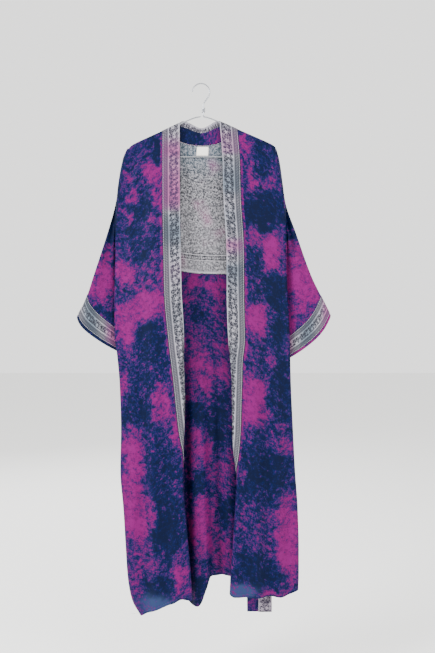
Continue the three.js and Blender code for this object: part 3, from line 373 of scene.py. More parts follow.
CREASES_BACK = (
    (-150, -250, 90, 18, 9, 1.0), (152, -250, 90, -18, 9, 1.0), (-60, -300, 110, 8, 11, -0.8),
    (66, -310, 110, -8, 11, -0.8), (0, -420, 120, 1, 10, 0.8), (-120, -520, 130, 5, 9, 0.9),
    (120, -540, 130, -5, 9, 0.9), (-196, -620, 110, 8, 8, -0.9), (196, -640, 110, -8, 8, -0.9),
    (-40, -760, 160, 2, 9, 0.9), (90, -900, 160, -2, 9, -0.9), (-160, -1080, 170, 3, 9, 0.9),
    (220, -1120, 150, -5, 9, 0.9), (-110, -1380, 90, 6, 8, -0.8), (46, -1250, 260, 5, 10, 2.0),
    (24, -1000, 170, -3, 8, -1.2), (66, -1060, 200, 2, 8, 1.2), (14, -1330, 160, -2, 7, -1.2),
)
CREASES_SLEEVE = (
    (-250, -360, 90, -18, 8, 1.2), (-272, -470, 100, -24, 9, -1.1), (-300, -580, 80, -30, 8, 1.0),
    (-230, -640, 90, 30, 9, 1.1), (-180, -730, 70, 40, 8, -1.0), (250, -360, 90, 18, 8, 1.2),
    (276, -480, 100, 24, 9, -1.1), (310, -590, 80, 30, 8, 1.0), (240, -650, 90, -30, 9, 1.1),
    (200, -740, 70, -40, 8, -1.0),
)


def table(rows, key, column, at):
    """Values of one column at places along another, on a smooth curve that never overshoots its rows."""
    at = np.asarray(at, float)
    keys, values = rows[key], rows[column]
    if keys[-1] < keys[0]:
        keys, values = keys[::-1], values[::-1]
    slope = np.diff(values) / np.diff(keys)
    tangent = np.zeros(len(keys))
    tangent[0], tangent[-1] = slope[0], slope[-1]
    before, after = slope[:-1], slope[1:]
    same = before * after > 0
    tangent[1:-1][same] = 2 * before[same] * after[same] / (before[same] + after[same])
    i = np.clip(np.searchsorted(keys, at) - 1, 0, len(keys) - 2)
    span = keys[i + 1] - keys[i]
    t = np.clip((at - keys[i]) / span, 0, 1)
    rise = 3 * t * t - 2 * t ** 3
    bend = t * (1 - t) ** 2 * span * tangent[i] + t * t * (t - 1) * span * tangent[i + 1]
    return values[i] * (1 - rise) + values[i + 1] * rise + bend


def mix(a, b, t):
    return a + (b - a) * t


def ease(value):
    t = np.clip(value, 0, 1)
    return t * t * (3 - 2 * t)


def rounded(share):
    """Quarter-round profile: 0 at an edge, 1 from one rounding length in."""
    rest = 1 - np.clip(share, 0, 1)
    return np.sqrt(np.maximum(0, 1 - rest * rest))


def shoulder_z(x):
    return table(SHOULDER, "out", "z", np.abs(x - HANGER_MIDDLE))


def drop_z(top, drop):
    """Height of a point that lies down the cloth by drop from the shoulder line at top."""
    curl = top - SHOULDER_RADIUS * (1 - np.cos(np.minimum(drop, CURL_LENGTH) / SHOULDER_RADIUS))
    return np.where(drop < CURL_LENGTH, curl, top - SHOULDER_RADIUS - (drop - CURL_LENGTH))


def drop_to(top, z):
    return CURL_LENGTH + (top - SHOULDER_RADIUS - z)


def edge_depth(curl, below, z):
    spread = (SIDE_DEPTH - SHOULDER_RADIUS) * ease(below / ARMHOLE_SPREAD)
    return (curl + spread) * rounded((z - ARMHOLE_BOTTOM) / ARMHOLE_ROUND)


def armhole_depth(z):
    """Half depth of the armhole at a height."""
    below = ARMHOLE_TOP - z
    depth = edge_depth(SHOULDER_RADIUS * rounded(below / SHOULDER_RADIUS), below - SHOULDER_RADIUS, z)
    return np.where((below <= 0) | (z <= ARMHOLE_BOTTOM), 0, depth)


def stand_off(drop, inward, z, middle_depth):
    """Distance of a panel from the hanger's plane."""
    curl = SHOULDER_RADIUS * np.sin(np.minimum(drop / SHOULDER_RADIUS, math.pi / 2))
    below = drop - CURL_LENGTH
    fall = np.where(below <= 0, 0, 1 - np.exp(-np.maximum(below, 0) / SHOULDER_FALL))
    edge = np.where(z <= ARMHOLE_BOTTOM, 0, edge_depth(curl, below, z))
    side = edge + (SIDE_DEPTH - edge) * rounded(inward / SIDE_ROUND)
    body = side + middle_depth * ease((inward - SIDE_ROUND / 2) / BODY_SWELL)
    inside = curl + fall * np.maximum(0, body - curl)
    open_form = mix(edge, inside, ease(inward / EDGE_BLEND))
    return SEAM_GAP / 2 + mix(body, open_form, ease((z - ARMHOLE_BOTTOM) / UNDERARM_BLEND))


def fold_at(folds, x, z):
    """Sum of the folds at a place, positive towards the front."""
    total = np.zeros(np.broadcast(x, z).shape)
    for middle, start, lean, grow, width, depth, flat in folds:
        below = np.maximum(start - z, 0)
        away = np.abs(x - middle - lean * below) / width
        total = total + depth * ease(below / grow) * np.exp(-(away ** (2 * flat)))
    return total


def lattice_noise(x, z, seed):
    """Smooth noise from 0 to 1 with one cell a unit."""
    values = np.random.default_rng(seed).random((128, 128))
    column, row = np.floor(x).astype(int), np.floor(z).astype(int)
    u, v = ease(x - column), ease(z - row)

    def corner(right, up):
        return values[(row + up) % 128, (column + right) % 128]

    return mix(mix(corner(0, 0), corner(1, 0), u), mix(corner(0, 1), corner(1, 1), u), v)


def ripple(x, z, seed):
    """Soft unevenness of hanging silk, in millimetres."""
    return sum(
        depth * (lattice_noise(x / cell_x, z / cell_z, seed + i) - 0.5)
        for i, (depth, cell_x, cell_z) in enumerate(RIPPLES)
    )


def crease_at(creases, x, z):
    """Sum of the creases at a place: each wavers, and is deeper in its middle."""
    total = np.zeros(np.broadcast(x, z).shape)
    for middle_x, middle_z, length, lean, width, depth in creases:
        angle = math.radians(lean)
        along = (z - middle_z) * math.cos(angle) + (x - middle_x) * math.sin(angle)
        across = (x - middle_x) * math.cos(angle) - (z - middle_z) * math.sin(angle)
        waver = CREASE_WAVER * width * np.sin(along / length * 4.1 + middle_x)
        uneven = 1 + CREASE_UNEVEN * np.sin(along / length * 7.3 + middle_z)
        taper = np.clip(1 - (along / length) ** 2, 0, 1)
        total = total + depth * uneven * taper * np.exp(-(((across - waver) / width) ** 2))
    return total


class FrontSide:
    """A front panel with its band, as one surface. across runs from the band seam, less than nothing on the
    panel and more on the band."""

    def __init__(self, is_right):
        right = (OPENING_RIGHT, HEM_RIGHT, PATCHES_FRONT_RIGHT, HUE_RIGHT)
        left = (OPENING_LEFT, HEM_LEFT, PATCHES_FRONT_LEFT, HUE_LEFT)
        self.opening, self.hem, self.patches, self.hues = right if is_right else left
        self.name = "right" if is_right else "left"
        self.toward = 1 if is_right else -1

    def open(self, column, z):
        return table(self.opening, "z", column, z)

    def side_x(self, z):
        return table(SIDE, "z", self.name, z)

    def seam_x(self, z):
        return self.open("edge", z) - self.toward * self.open("band", z)

    def width_at(self, z):
        return self.toward * (self.seam_x(z) - self.side_x(z))

    def top_x(self, across):
        return self.seam_x(TOP_Z) + self.toward * across

    def point(self, across, drop):
        z = drop_z(shoulder_z(self.top_x(across)), drop)
        turn = np.radians(self.open("turn", z))
        start = self.open("band", z) - TURN_RADIUS
        turned = (turn > 0) & (across > start)
        angle = np.clip((across - start) / TURN_RADIUS, 0, np.maximum(turn, 0))
        rest = np.maximum(0, across - start - TURN_RADIUS * turn)
        along = np.where(turned, start + TURN_RADIUS * np.sin(angle) + rest * np.cos(turn), across)
        behind = np.where(turned, TURN_RADIUS * (1 - np.cos(angle)) + rest * np.sin(turn), 0)
        x = self.seam_x(z) + self.toward * along
        visible = np.minimum(across, start)
        visible_x = self.seam_x(z) + self.toward * visible
        inward = self.width_at(z) + visible
        forward = stand_off(drop, inward, z, table(DEPTH, "z", "front", z))
        fade = rounded((inward - 2) / FOLD_FADE)
        soft = FRONT_CREASE * crease_at(CREASES_FRONT, visible_x, z) + ripple(visible_x, z, 3)
        folds = (fold_at(FRONT_FOLDS, visible_x, z) + soft * ease((FRONT_CREASE_Z - z) / 120)) * fade
        return np.stack([x, behind - forward - folds, z], -1)

    def hem_drop(self, across):
        share = 1 + across / self.width_at(HEM_Z)
        return drop_to(shoulder_z(self.top_x(across)), table(self.hem, "share", "z", share))


RIGHT = FrontSide(True)
LEFT = FrontSide(False)


def top_at_share(share):
    return mix(SIDE["right"][0], SIDE["left"][0], share)


def share_at_top(x):
    return (x - SIDE["right"][0]) / (SIDE["left"][0] - SIDE["right"][0])


def back_point(share, drop):
    """The back panel, by its share of the way from the right side fold to the left one."""
    z = drop_z(shoulder_z(top_at_share(share)), drop)
    right = table(SIDE, "z", "right", z)
    left = table(SIDE, "z", "left", z)
    x = mix(right, left, share)
    inward = np.minimum(x - right, left - x)
    behind = stand_off(drop, inward, z, table(DEPTH, "z", "back", z))
    fade = rounded((inward - 2) / FOLD_FADE)
    soft = (BACK_CREASE * crease_at(CREASES_BACK, x, z) + ripple(x, z, 11)) * ease((BACK_CREASE_Z - z) / 160)
    folds = (fold_at(BACK_FOLDS, x, z) - soft) * fade
    return np.stack([x, behind - folds, z], -1)


def back_start(share):
    x = top_at_share(share)
    out = np.abs(x - HANGER_MIDDLE)
    over = CURL_LENGTH * np.maximum(0, NECK_HALF - out) / NECK_CURL
    below = np.maximum(CURL_LENGTH, drop_to(shoulder_z(x), table(NECK_EDGE, "out", "z", out)))
    return np.where(out >= NECK_HALF - NECK_CURL, over, below)


def back_hem_drop(share):
    x = mix(table(SIDE, "z", "right", -1541), table(SIDE, "z", "left", -1465), share)
    return drop_to(shoulder_z(top_at_share(share)), table(HEM_BACK, "x", "z", x))


def sleeve_point(is_right, along, lap):
    """A sleeve as one closed tube. lap runs from 0 at the outer fold down the front to 1 and up the back
    to 2."""
    rows = SLEEVE_RIGHT if is_right else SLEEVE_LEFT
    side = RIGHT.side_x if is_right else LEFT.side_x
    toward = 1 if is_right else -1
    lap = np.mod(lap, 2)
    down = np.where(lap <= 1, lap, 2 - lap)
    bow = down ** 1.5
    start_z = mix(ARMHOLE_TOP, ARMHOLE_BOTTOM, down)
    start_x = mix(rows["outerX"][0], rows["innerX"][0], bow)
    clear = SEAM_GAP + CLOSING_GAP * (1 - armhole_depth(start_z) / SIDE_DEPTH)
    outer_x = table(rows, "along", "outerX", along)
    inner_x = table(rows, "along", "innerX", along)
    x = side(start_z) - toward * clear + mix(outer_x, inner_x, bow) - start_x
    z = mix(table(rows, "along", "outerZ", along), table(rows, "along", "innerZ", along), down)
    flat = SLEEVE_DEPTH * rounded(np.minimum(down, 1 - down) / SLEEVE_ROUND)
    half = mix(armhole_depth(start_z), flat, ease(along / FLAT_BY))
    inside = (x - side(z)) * toward
    tuck = SLEEVE_TUCK * ease((inside + TUCK_FROM) / TUCK_OVER)
    centre = (SLEEVE_BACK + tuck) * ease(along / mix(BACK_OUTER, BACK_INNER, down ** 2))
    soft = WAVE_DEPTH * ease(along / WAVE_BY) * np.sin(2 * math.pi * (2.1 * down - 0.7 * along))
    fine = crease_at(CREASES_SLEEVE, x, z) + ripple(x, z, 23)
    fine = fine * ease(along / CREASED_BY) * ease(inside / -10)
    front = np.where(lap <= 1, -1, 1)
    fine = fine * (half / SLEEVE_DEPTH) * ease(np.minimum(down, 1 - down) / 0.12) * 0.8
    y = centre + front * half + soft * (half / SIDE_DEPTH) - fine
    return np.stack([x, y, z], -1)


def sleeve_length(is_right, down):
    rows = SLEEVE_RIGHT if is_right else SLEEVE_LEFT
    outer = math.hypot(rows["outerX"][-1] - rows["outerX"][0], rows["outerZ"][-1] - rows["outerZ"][0])
    inner = math.hypot(rows["innerX"][-1] - rows["innerX"][0], rows["innerZ"][-1] - rows["innerZ"][0])
    return mix(outer, inner, down)


def cuff_along(is_right, lap, share):
    """Place along the sleeve of a point of the cuff band, with share from 0 at its upper edge to 1."""
    length = sleeve_length(is_right, np.where(lap <= 1, lap, 2 - lap))
    return 1 - mix(CUFF_BAND_WIDTH + CUFF_STRIP, CUFF_STRIP, share) / length


def neck_point(turn, up):
    """The neck band, from its seam up to its free rim. turn is 0 to 1 round the back."""
    around = np.clip(turn, 0, 1)
    curl = np.where(turn < 0, 1 + turn, np.where(turn > 1, 2 - turn, 1.0))
    half = NECK_HALF - 2 * SEAM_GAP - NECK_CURL * curl
    seam_x = HANGER_MIDDLE + mix(-half, half, around)
    share = share_at_top(seam_x)
    drop = np.where(curl < 1, curl * CURL_LENGTH, back_start(share))
    seam = back_point(share, drop)
    seam[..., 2] += 2 * SEAM_GAP * curl
    rim = np.stack([table(NECK_RIM, "round", axis, around) for axis in "xyz"], -1)
    point = mix(seam, rim, up[..., None])
    over = back_point(share_at_top(mix(seam_x, rim[..., 0], up)), drop)
    return np.where((curl >= 1)[..., None], point, mix(over, point, (curl ** 4)[..., None]))


# Meshes


def spaced(count, start=0.0, end=1.0, crowd_start=(), crowd_end=()):
    """Even places from start to end with more of them close to its ends."""
    places = np.linspace(start, end, count + 1)
    extra = [start + a for a in crowd_start] + [end - a for a in crowd_end]
    return np.unique(np.round(np.concatenate([places, extra]), 6))


def grid_normals(points, wrap=False):
    """Unit normals of a grid of points."""
    if wrap:
        padded = np.concatenate([points[:, -1:], points, points[:, :1]], 1)
        along_columns = np.gradient(padded, axis=1)[:, 1:-1]
    else:
        along_columns = np.gradient(points, axis=1)
    along_rows = np.gradient(points, axis=0)
    normal = np.cross(along_columns, along_rows)
    length = np.linalg.norm(normal, axis=-1, keepdims=True)
    return normal / np.maximum(length, 1e-9)


def facing(normals, hint):
    """The normals, turned so that they mostly point along hint."""
    return normals if (normals * hint).sum() > 0 else -normals


def cloth_mesh(name, outer, inner, uv, wrap=False, attributes=None, inner_slots=None, outer_slots=None):
    """A closed thin wall between two grids of points in millimetres, as a mesh with a UV map."""
    rows, cols = outer.shape[:2]
    uv_cols = uv.shape[1]
    spans = cols if wrap else cols - 1
    r, c = np.meshgrid(np.arange(rows - 1), np.arange(spans), indexing="ij")
    r, c = r.ravel(), c.ravel()

    def quads(*corners):
        points = [(layer * rows + row) * cols + col % cols for layer, row, col in corners]
        places = [row * uv_cols + col for _, row, col in corners]
        return np.stack(points, -1), np.stack(places, -1)

    def rim(start, end):
        return quads((0, *start), (0, *end), (1, *end), (1, *start))

    parts = [
        quads((0, r, c), (0, r, c + 1), (0, r + 1, c + 1), (0, r + 1, c)),
        quads((1, r, c), (1, r + 1, c), (1, r + 1, c + 1), (1, r, c + 1)),
    ]
    k = np.arange(spans)
    first, last = np.zeros_like(k), np.full_like(k, rows - 1)
    parts += [rim((first, k + 1), (first, k)), rim((last, k), (last, k + 1))]
    if not wrap:
        k = np.arange(rows - 1)
        first, last = np.zeros_like(k), np.full_like(k, spans)
        parts += [rim((k, first), (k + 1, first)), rim((k + 1, last), (k, last))]
    faces = np.concatenate([p[0] for p in parts])
    uv_faces = np.concatenate([p[1] for p in parts])
    points = np.concatenate([outer.reshape(-1, 3), inner.reshape(-1, 3)]) * MM
    a, b, d, e = (points[faces[:, i]] for i in range(4))
    volume = (a * np.cross(b, d)).sum() + (a * np.cross(d, e)).sum()
    if volume < 0:
        faces, uv_faces = faces[:, ::-1], uv_faces[:, ::-1]
    mesh = bpy.data.meshes.new(name)
    mesh.from_pydata(points.tolist(), [], faces.tolist())
    layer = mesh.uv_layers.new(name="cloth")
    layer.data.foreach_set("uv", uv.reshape(-1, 2)[uv_faces.ravel()].ravel().astype(np.float32))
    face_count = len(faces)
    smooth = np.ones(face_count, bool)
    wall_faces = len(parts[0][0])
    smooth[2 * wall_faces:] = False
    mesh.polygons.foreach_set("use_smooth", smooth)
    slots = np.zeros(face_count, np.int32)
    if outer_slots is not None:
        slots[:wall_faces] = outer_slots[r, c]
    if inner_slots is not None:
        slots[wall_faces:2 * wall_faces] = inner_slots[r, c]
    mesh.polygons.foreach_set("material_index", slots)
    for key, values in (attributes or {}).items():
        attribute = mesh.attributes.new(key, "FLOAT", "POINT")
        doubled = np.concatenate([values.ravel(), values.ravel()]).astype(np.float32)
        attribute.data.foreach_set("value", doubled)
    mesh.update()
    return mesh


def add_piece(name, mesh, materials, slot, *nodes):
    """A finished piece of the robe in the frame, riding on its one body."""
    piece = bpy.data.objects.new(name, mesh)
    bpy.context.scene.collection.objects.link(piece)
    for material in materials:
        mesh.materials.append(material)
    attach(piece, "root")
    if nodes:
        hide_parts(*nodes)
    return piece


def dye_tone(patches, x, z):
    """How much of the magenta dye shows at a place: soft-edged patches, each laid over those before it."""
    tone = np.full(np.broadcast(x, z).shape, PLAIN_TONE)
    for moves in DYE_WARPS:
        aside, up = (
            reach * (lattice_noise(x / cell_x, z / cell_z, seed) - 0.5)
            for reach, cell_x, cell_z, seed in moves
        )
        x, z = x + aside, z + up
    for middle_x, middle_z, half_width, half_height, patch in patches:
        away = ((x - middle_x) / half_width) ** 2 + ((z - middle_z) / half_height) ** 2
        tone = mix(tone, patch, np.exp(-(away ** 1.6) * 0.9))
    return tone


def wandering_tone(x, z, seed):
    """A dyeing of its own for cloth that the front view doesn't show."""
    broad = lattice_noise(x / 95 + 7, z / 120, seed)
    middle = lattice_noise(x / 42, z / 55 + 5, seed + 5)
    return np.clip(0.5 + 1.9 * (0.65 * broad + 0.35 * middle - 0.5), 0.02, 0.98)


# Materials


class Num:
    """A number in a node tree that takes plain arithmetic."""

    def __init__(self, tree, socket):
        self.tree = tree
        self.socket = socket

    def math(self, operation, other=0.0):
        node = add_node(self.tree, "ShaderNodeMath", {0: self, 1: other}, operation=operation)
        return Num(self.tree, node.outputs[0])

    def __add__(self, other):
        return self.math("ADD", other)

    def __sub__(self, other):
        return self.math("SUBTRACT", other)

    def __mul__(self, other):
        return self.math("MULTIPLY", other)

    def __abs__(self):
        return self.math("ABSOLUTE")

    def sine(self):
        return self.math("SINE")

    def most(self, other):
        """The larger of the two."""
        return self.math("MAXIMUM", other)

    def clamped(self):
        """The same, kept from 0 to 1 by the node that made it."""
        self.socket.node.use_clamp = True
        return self

    def step(self, low, high):
        """0 below low and 1 above high, eased between. With low above high it steps down."""
        inputs = {"Value": self, "From Min": low, "From Max": high}
        node = add_node(self.tree, "ShaderNodeMapRange", inputs, interpolation_type="SMOOTHSTEP")
        return Num(self.tree, node.outputs["Result"])


def put(tree, socket, value):
    """A link where value comes from a node, otherwise a plain value."""
    if isinstance(value, Num):
        value = value.socket
    if isinstance(value, bpy.types.NodeSocket):
        tree.links.new(value, socket)
    else:
        socket.default_value = value


def add_node(tree, kind, inputs=None, **settings):
    node = tree.nodes.new(kind)
    for key, value in settings.items():
        setattr(node, key, value)
    for key, value in (inputs or {}).items():
        put(tree, node.inputs[key], value)
    return node


def blend(tree, share, first, second):
    """A colour between two colours. Numbers go through it as greys."""
    return add_node(tree, "ShaderNodeMix", {0: share, 6: first, 7: second}, data_type="RGBA").outputs[2]


def ramp(tree, value, stops):
    node = add_node(tree, "ShaderNodeValToRGB", {0: value})
    elements = node.color_ramp.elements
    while len(elements) < len(stops):
        elements.new(0.5)
    for element, (place, color) in zip(elements, stops):
        element.position = place
        element.color = color
    return node.outputs[0]


def noise(tree, vector, scale, detail=3.0, roughness=0.5, distortion=0.0):
    inputs = {"Vector": vector, "Scale": scale, "Detail": detail}
    inputs.update({"Roughness": roughness, "Distortion": distortion})
    return Num(tree, add_node(tree, "ShaderNodeTexNoise", inputs).outputs["Fac"])


def stirred(tree, vector, scale, detail, reach):
    """A place that is moved about by noise."""
    inputs = {"Vector": vector, "Scale": scale, "Detail": detail}
    drift = add_node(tree, "ShaderNodeTexNoise", inputs).outputs["Color"]
    move = add_node(tree, "ShaderNodeVectorMath", {0: drift, 3: reach}, operation="SCALE").outputs[0]
    return add_node(tree, "ShaderNodeVectorMath", {0: vector, 1: move}, operation="ADD").outputs[0]


def split(tree, vector):
    """The three numbers of a vector."""
    return [Num(tree, part) for part in add_node(tree, "ShaderNodeSeparateXYZ", {0: vector}).outputs]


def cloth_uv(tree):
    return add_node(tree, "ShaderNodeUVMap", uv_map="cloth").outputs[0]


def attribute(tree, name):
    return Num(tree, add_node(tree, "ShaderNodeAttribute", attribute_name=name).outputs["Fac"])


def linear(red, green, blue):
    """A colour given as it looks on a screen, from 0 to 255."""
    channels = [channel / 255 for channel in (red, green, blue)]
    return tuple(c / 12.92 if c <= 0.04045 else ((c + 0.055) / 1.055) ** 2.4 for c in channels) + (1.0,)


def paints(settings, *names):
    """Colours of a settings group."""
    group = getattr(bpy.context.scene, settings)
    return [(*getattr(group, name), 1.0) for name in names]


def made_once(store, default=None):
    """For a maker of a material or node group: gives the one of that name where it exists already."""

    def wrap(make):
        def get(name=default, *values):
            return getattr(bpy.data, store).get(name) or make(name, *values)

        return get

    return wrap


def new_group(name, inputs, outputs):
    """An empty node group. inputs has each number's default, or None for a vector, and outputs has kinds."""
    group = bpy.data.node_groups.new(name, "ShaderNodeTree")
    for label, default in inputs.items():
        kind = "NodeSocketVector" if default is None else "NodeSocketFloat"
        socket = group.interface.new_socket(name=label, in_out="INPUT", socket_type=kind)
        if default is not None:
            socket.default_value = default
    for label, kind in outputs.items():
        group.interface.new_socket(name=label, in_out="OUTPUT", socket_type="NodeSocket" + kind)
    given = group.nodes.new("NodeGroupInput").outputs
    out = group.nodes.new("NodeGroupOutput").inputs
    return group, {label: Num(group, given[label]) for label in inputs}, out


def place_group(tree, group, **inputs):
    node = add_node(tree, "ShaderNodeGroup", node_tree=group)
    for key, value in inputs.items():
        put(tree, node.inputs[key], value)
    return {socket.name: Num(tree, socket) for socket in node.outputs}


def new_material(name, **values):
    """A material with its Principled shader's plain values set, and that shader and its tree."""
    material = bpy.data.materials.new(name)
    material.use_nodes = True
    tree = material.node_tree
    shader = tree.nodes["Principled BSDF"]
    for key, value in values.items():
        shader.inputs[key.replace("_", " ")].default_value = value
    return material, tree, shader


def bump(tree, shader, height, distance, strength):
    node = add_node(tree, "ShaderNodeBump", {"Height": height, "Distance": distance, "Strength": strength})
    put(tree, shader.inputs["Normal"], node.outputs["Normal"])


@made_once("node_groups", "silk_weave")
def weave_group(name):
    """Crossing threads as a height: Vector in metres along the cloth, Threads in each metre."""
    inputs = {"Vector": None, "Threads": 900.0, "Slub": 0.4}
    group, given, out = new_group(name, inputs, {"Height": "Float"})
    across, along, _ = split(group, given["Vector"])
    turn = given["Threads"] * (2 * math.pi)
    warp = (across * turn).sine()
    weft = (along * turn).sine()
    inputs = {"Vector": given["Vector"], "Scale": (30, 900, 1)}
    stretched = add_node(group, "ShaderNodeMapping", inputs).outputs[0]
    slub = noise(group, stretched, 1.0, 2.0) * given["Slub"]
    put(group, out["Height"], warp * 0.25 + weft * 0.25 + slub)
    return group


def weave(tree, cloth, threads, slub):
    return place_group(tree, weave_group(), Vector=cloth, Threads=threads, Slub=slub)["Height"]


@made_once("node_groups", "tie_dye")
def dye_group(name):
    """Tie-dye: dark dye broken by blooms of the light one, as ink through crumpled cloth. Light is how much
    of the light dye a place has."""
    outputs = {"Color": "Color", "Light": "Float"}
    group, given, out = new_group(name, {"Vector": None, "Tone": 0.5, "Bloom": 70.0}, outputs)
    here, bloom = given["Vector"], given["Bloom"]
    broad = noise(group, here, bloom * 0.42, 3.0, 0.55, 0.6)
    crackle = noise(group, here, bloom, 8.0, 0.78, 0.3)
    fine = noise(group, here, bloom * 3.0, 4.0, 0.7, 0.1)
    moved = stirred(group, here, 160.0, 3.0, 0.012)
    floret = add_node(group, "ShaderNodeTexVoronoi", {"Vector": moved, "Scale": 95.0}).outputs["Distance"]
    floret = Num(group, floret) * -1.0 + FLORET_REACH
    mottle = broad + crackle * 2.4 + fine * 1.9 - MOTTLE_MIDDLE + floret * 0.42
    lean = (given["Tone"] - 0.5) * 1.1
    value = (lean + mottle + 0.44).clamped()
    colors = paints("robe_dyes", "deep", "navy", "violet", "magenta", "pink")
    put(group, out["Color"], ramp(group, value, list(zip(DYE_STOPS, colors))))
    put(group, out["Light"], value)
    return group


@made_once("materials", "tie_dyed_silk")
def silk_material(name):
    """Dyed silk by its "tone", with a painted sheen and painted light showing through the cloth as a pale
    blue where its "thin" is above 0 and the dye is dark.
    """
    material, tree, shader = new_material(name, Roughness=0.62, Specular_IOR_Level=0.06)
    cloth = cloth_uv(tree)
    dyed = place_group(tree, dye_group(), Vector=cloth, Tone=attribute(tree, "tone"), Bloom=DYE_BLOOM)
    # Painted sheen and painted light through the thin cloth: the colour turns to a pale blue where "thin" is
    # above 0 and the dye is dark
    thin = attribute(tree, "thin") * dyed["Light"].step(0.75, 0.1)
    put(tree, shader.inputs["Base Color"], blend(tree, thin, dyed["Color"], *paints("robe_dyes", "painted_sheen_blue")))
    soft = noise(tree, cloth, 55.0, 4.0, 0.55)
    bump(tree, shader, weave(tree, cloth, SILK_THREADS, 0.5) * 0.12 + soft, 0.0012, 0.5)
    return material


@made_once("node_groups", "woven_border")
def border_group(name):
    """The woven border: ladder rows by the seam, a strip of flowers and two light lines. Lengths are in
    millimetres, and Hue runs from 0 teal over 0.5 silver to 1 pink."""
    inputs = {"Across": 0.0, "Along": 0.0, "Ladder": LADDER_WIDTH, "Width": BAND_WIDTH}
    inputs.update({"Far ladder": 0.0, "Hue": 0.5})
    group, given, out = new_group(name, inputs, {"Color": "Color", "Height": "Float"})
    across, along, ladder, width, far_ladder, hue = given.values()
    navy, plum, silver, rose, teal = paints("robe_border", "ground", "plum", "silver", "rose", "teal")
    ground = blend(group, hue.step(0.45, 0.9), navy, plum)
    thread = blend(group, hue.step(0.5, 1.0), silver, rose)
    thread = blend(group, hue.step(0.5, 0.0) * 0.75, thread, teal)

    # Flowers: petals round the middle of each cell, with curling stems between them
    plane = add_node(group, "ShaderNodeCombineXYZ", {0: across, 1: along}).outputs[0]
    inputs = {"Vector": plane, "Scale": 1 / FLOWER_CELL, "Randomness": 0.4}
    cell = add_node(group, "ShaderNodeTexVoronoi", inputs).outputs
    inputs = {0: plane, 1: cell["Position"]}
    spoke = add_node(group, "ShaderNodeVectorMath", inputs, operation="SUBTRACT").outputs[0]
    spoke_x, spoke_y, _ = split(group, spoke)
    angle = spoke_y.math("ARCTAN2", spoke_x) * PETALS
    petal = angle.math("COSINE") * 0.1 + 0.33
    from_heart = Num(group, cell["Distance"])
    flower = (petal - from_heart).step(-0.02, 0.05) - from_heart.step(0.13, 0.08) * 0.8
    moved = stirred(group, plane, 0.16, 2.0, 5.0)
    inputs = {"Vector": moved, "Scale": 1 / CURL_CELL}
    curl = add_node(group, "ShaderNodeTexVoronoi", inputs, feature="DISTANCE_TO_EDGE").outputs["Distance"]
    grain = noise(group, plane, 0.42, 4.0, 0.75)
    stem = Num(group, curl).step(0.1, 0.03) * 0.62 * (grain.step(0.34, 0.6) + 0.25)
    motif = (flower * 0.95).most(stem).clamped()

    # Ladder: a column of short rungs between two rails, and a second one at the far edge of the cuffs
    far_edge = width - far_ladder
    beyond = (across - far_edge).step(0.0, 0.6) * far_ladder.step(0.5, 1.0)
    from_edge = Num(group, blend(group, beyond, across, width - across))
    rung = (along * (2 * math.pi / RUNG_PITCH)).sine().step(-0.2, 0.4)
    off_middle = abs(from_edge - LADDER_MIDDLE)
    rail = abs(off_middle - RAIL_OUT).step(1.2, 0.5)
    ladder_level = (rung * off_middle.step(3.9, 3.2)).most(rail * 0.8) * 0.38 + 0.04

    in_flowers = ((across - ladder).step(0.0, 0.6) - beyond).clamped()
    level = Num(group, blend(group, in_flowers, ladder_level, motif * 0.86))
    line_near = abs(across - (ladder + 1.4)).step(1.5, 0.9)
    line_far = abs(across - (far_edge - 2.0)).step(1.8, 1.0)
    level = level.most(line_near.most(line_far) * 0.85)
    level = (level + (grain - 0.5) * 0.35).clamped()
    put(group, out["Color"], blend(group, level, ground, thread))
    put(group, out["Height"], level)
    return group


@made_once("materials")
def border_material(name, ladder, width, far_ladder=0.0):
    """The woven border on a strip whose UV map runs across it and along it in metres."""
    material, tree, shader = new_material(
        name, Roughness=0.6, Specular_IOR_Level=0.25, Sheen_Weight=0.02, Sheen_Roughness=0.35
    )
    cloth = cloth_uv(tree)
    across, along, _ = split(tree, cloth)
    strip = {"Across": across * 1000.0, "Along": along * 1000.0, "Hue": attribute(tree, "hue")}
    strip.update({"Ladder": ladder, "Width": width, "Far ladder": far_ladder})
    woven = place_group(tree, border_group(), **strip)
    put(tree, shader.inputs["Base Color"], woven["Color"])
    bump(tree, shader, woven["Height"] + weave(tree, cloth, BORDER_THREADS, 0.8) * 0.3, 0.0005, 0.7)
    return material


@made_once("materials", "heather_brocade")
def lining_material(name):
    """Heathered grey brocade with a woven border of light lines above its lower edge."""
    dark, light, rose, teal = paints("robe_border", "heather_dark", "heather_light", "rose", "teal")
    material, tree, shader = new_material(name, Roughness=0.8, Specular_IOR_Level=0.15)
    cloth = cloth_uv(tree)
    aside, up, _ = split(tree, cloth)
    aside, up = aside * 1000.0, up * 1000.0
    fleck = noise(tree, cloth, 190.0, 5.0, 0.9)
    figure = noise(tree, cloth, 150.0, 3.0, 0.6, 1.2)
    broad = noise(tree, cloth, 9.0, 2.0, 0.5)
    level = (fleck * 0.9 + figure * 0.5 - 0.2).step(0.43, 0.6)
    level = (level * 0.8 + up.step(330.0, 30.0) * 0.16).clamped()

    # Border: a dotted row between two light lines, and a third line at the edge
    def line_at(height, half):
        return abs(up - height).step(half + 0.8, half - 0.3)

    dots = (aside * (2 * math.pi / DOT_PITCH)).sine().step(0.0, 0.5)
    rows = line_at(DOTTED_ROW, 2.2) * dots
    for height in LIGHT_ROWS:
        rows = rows.most(line_at(height, 1.2))
    level = (level - line_at(DARK_ROW, 12.0) * 0.3).clamped()
    level = (level + rows * 0.75).clamped()
    base = blend(tree, broad.step(0.5, 0.68) * 0.35, blend(tree, level, dark, light), rose)
    put(tree, shader.inputs["Base Color"], blend(tree, up.step(250.0, 360.0) * 0.3, base, teal))
    bump(tree, shader, weave(tree, cloth, LINING_THREADS, 0.8) * 0.4 + level, 0.0005, 0.6)
    return material


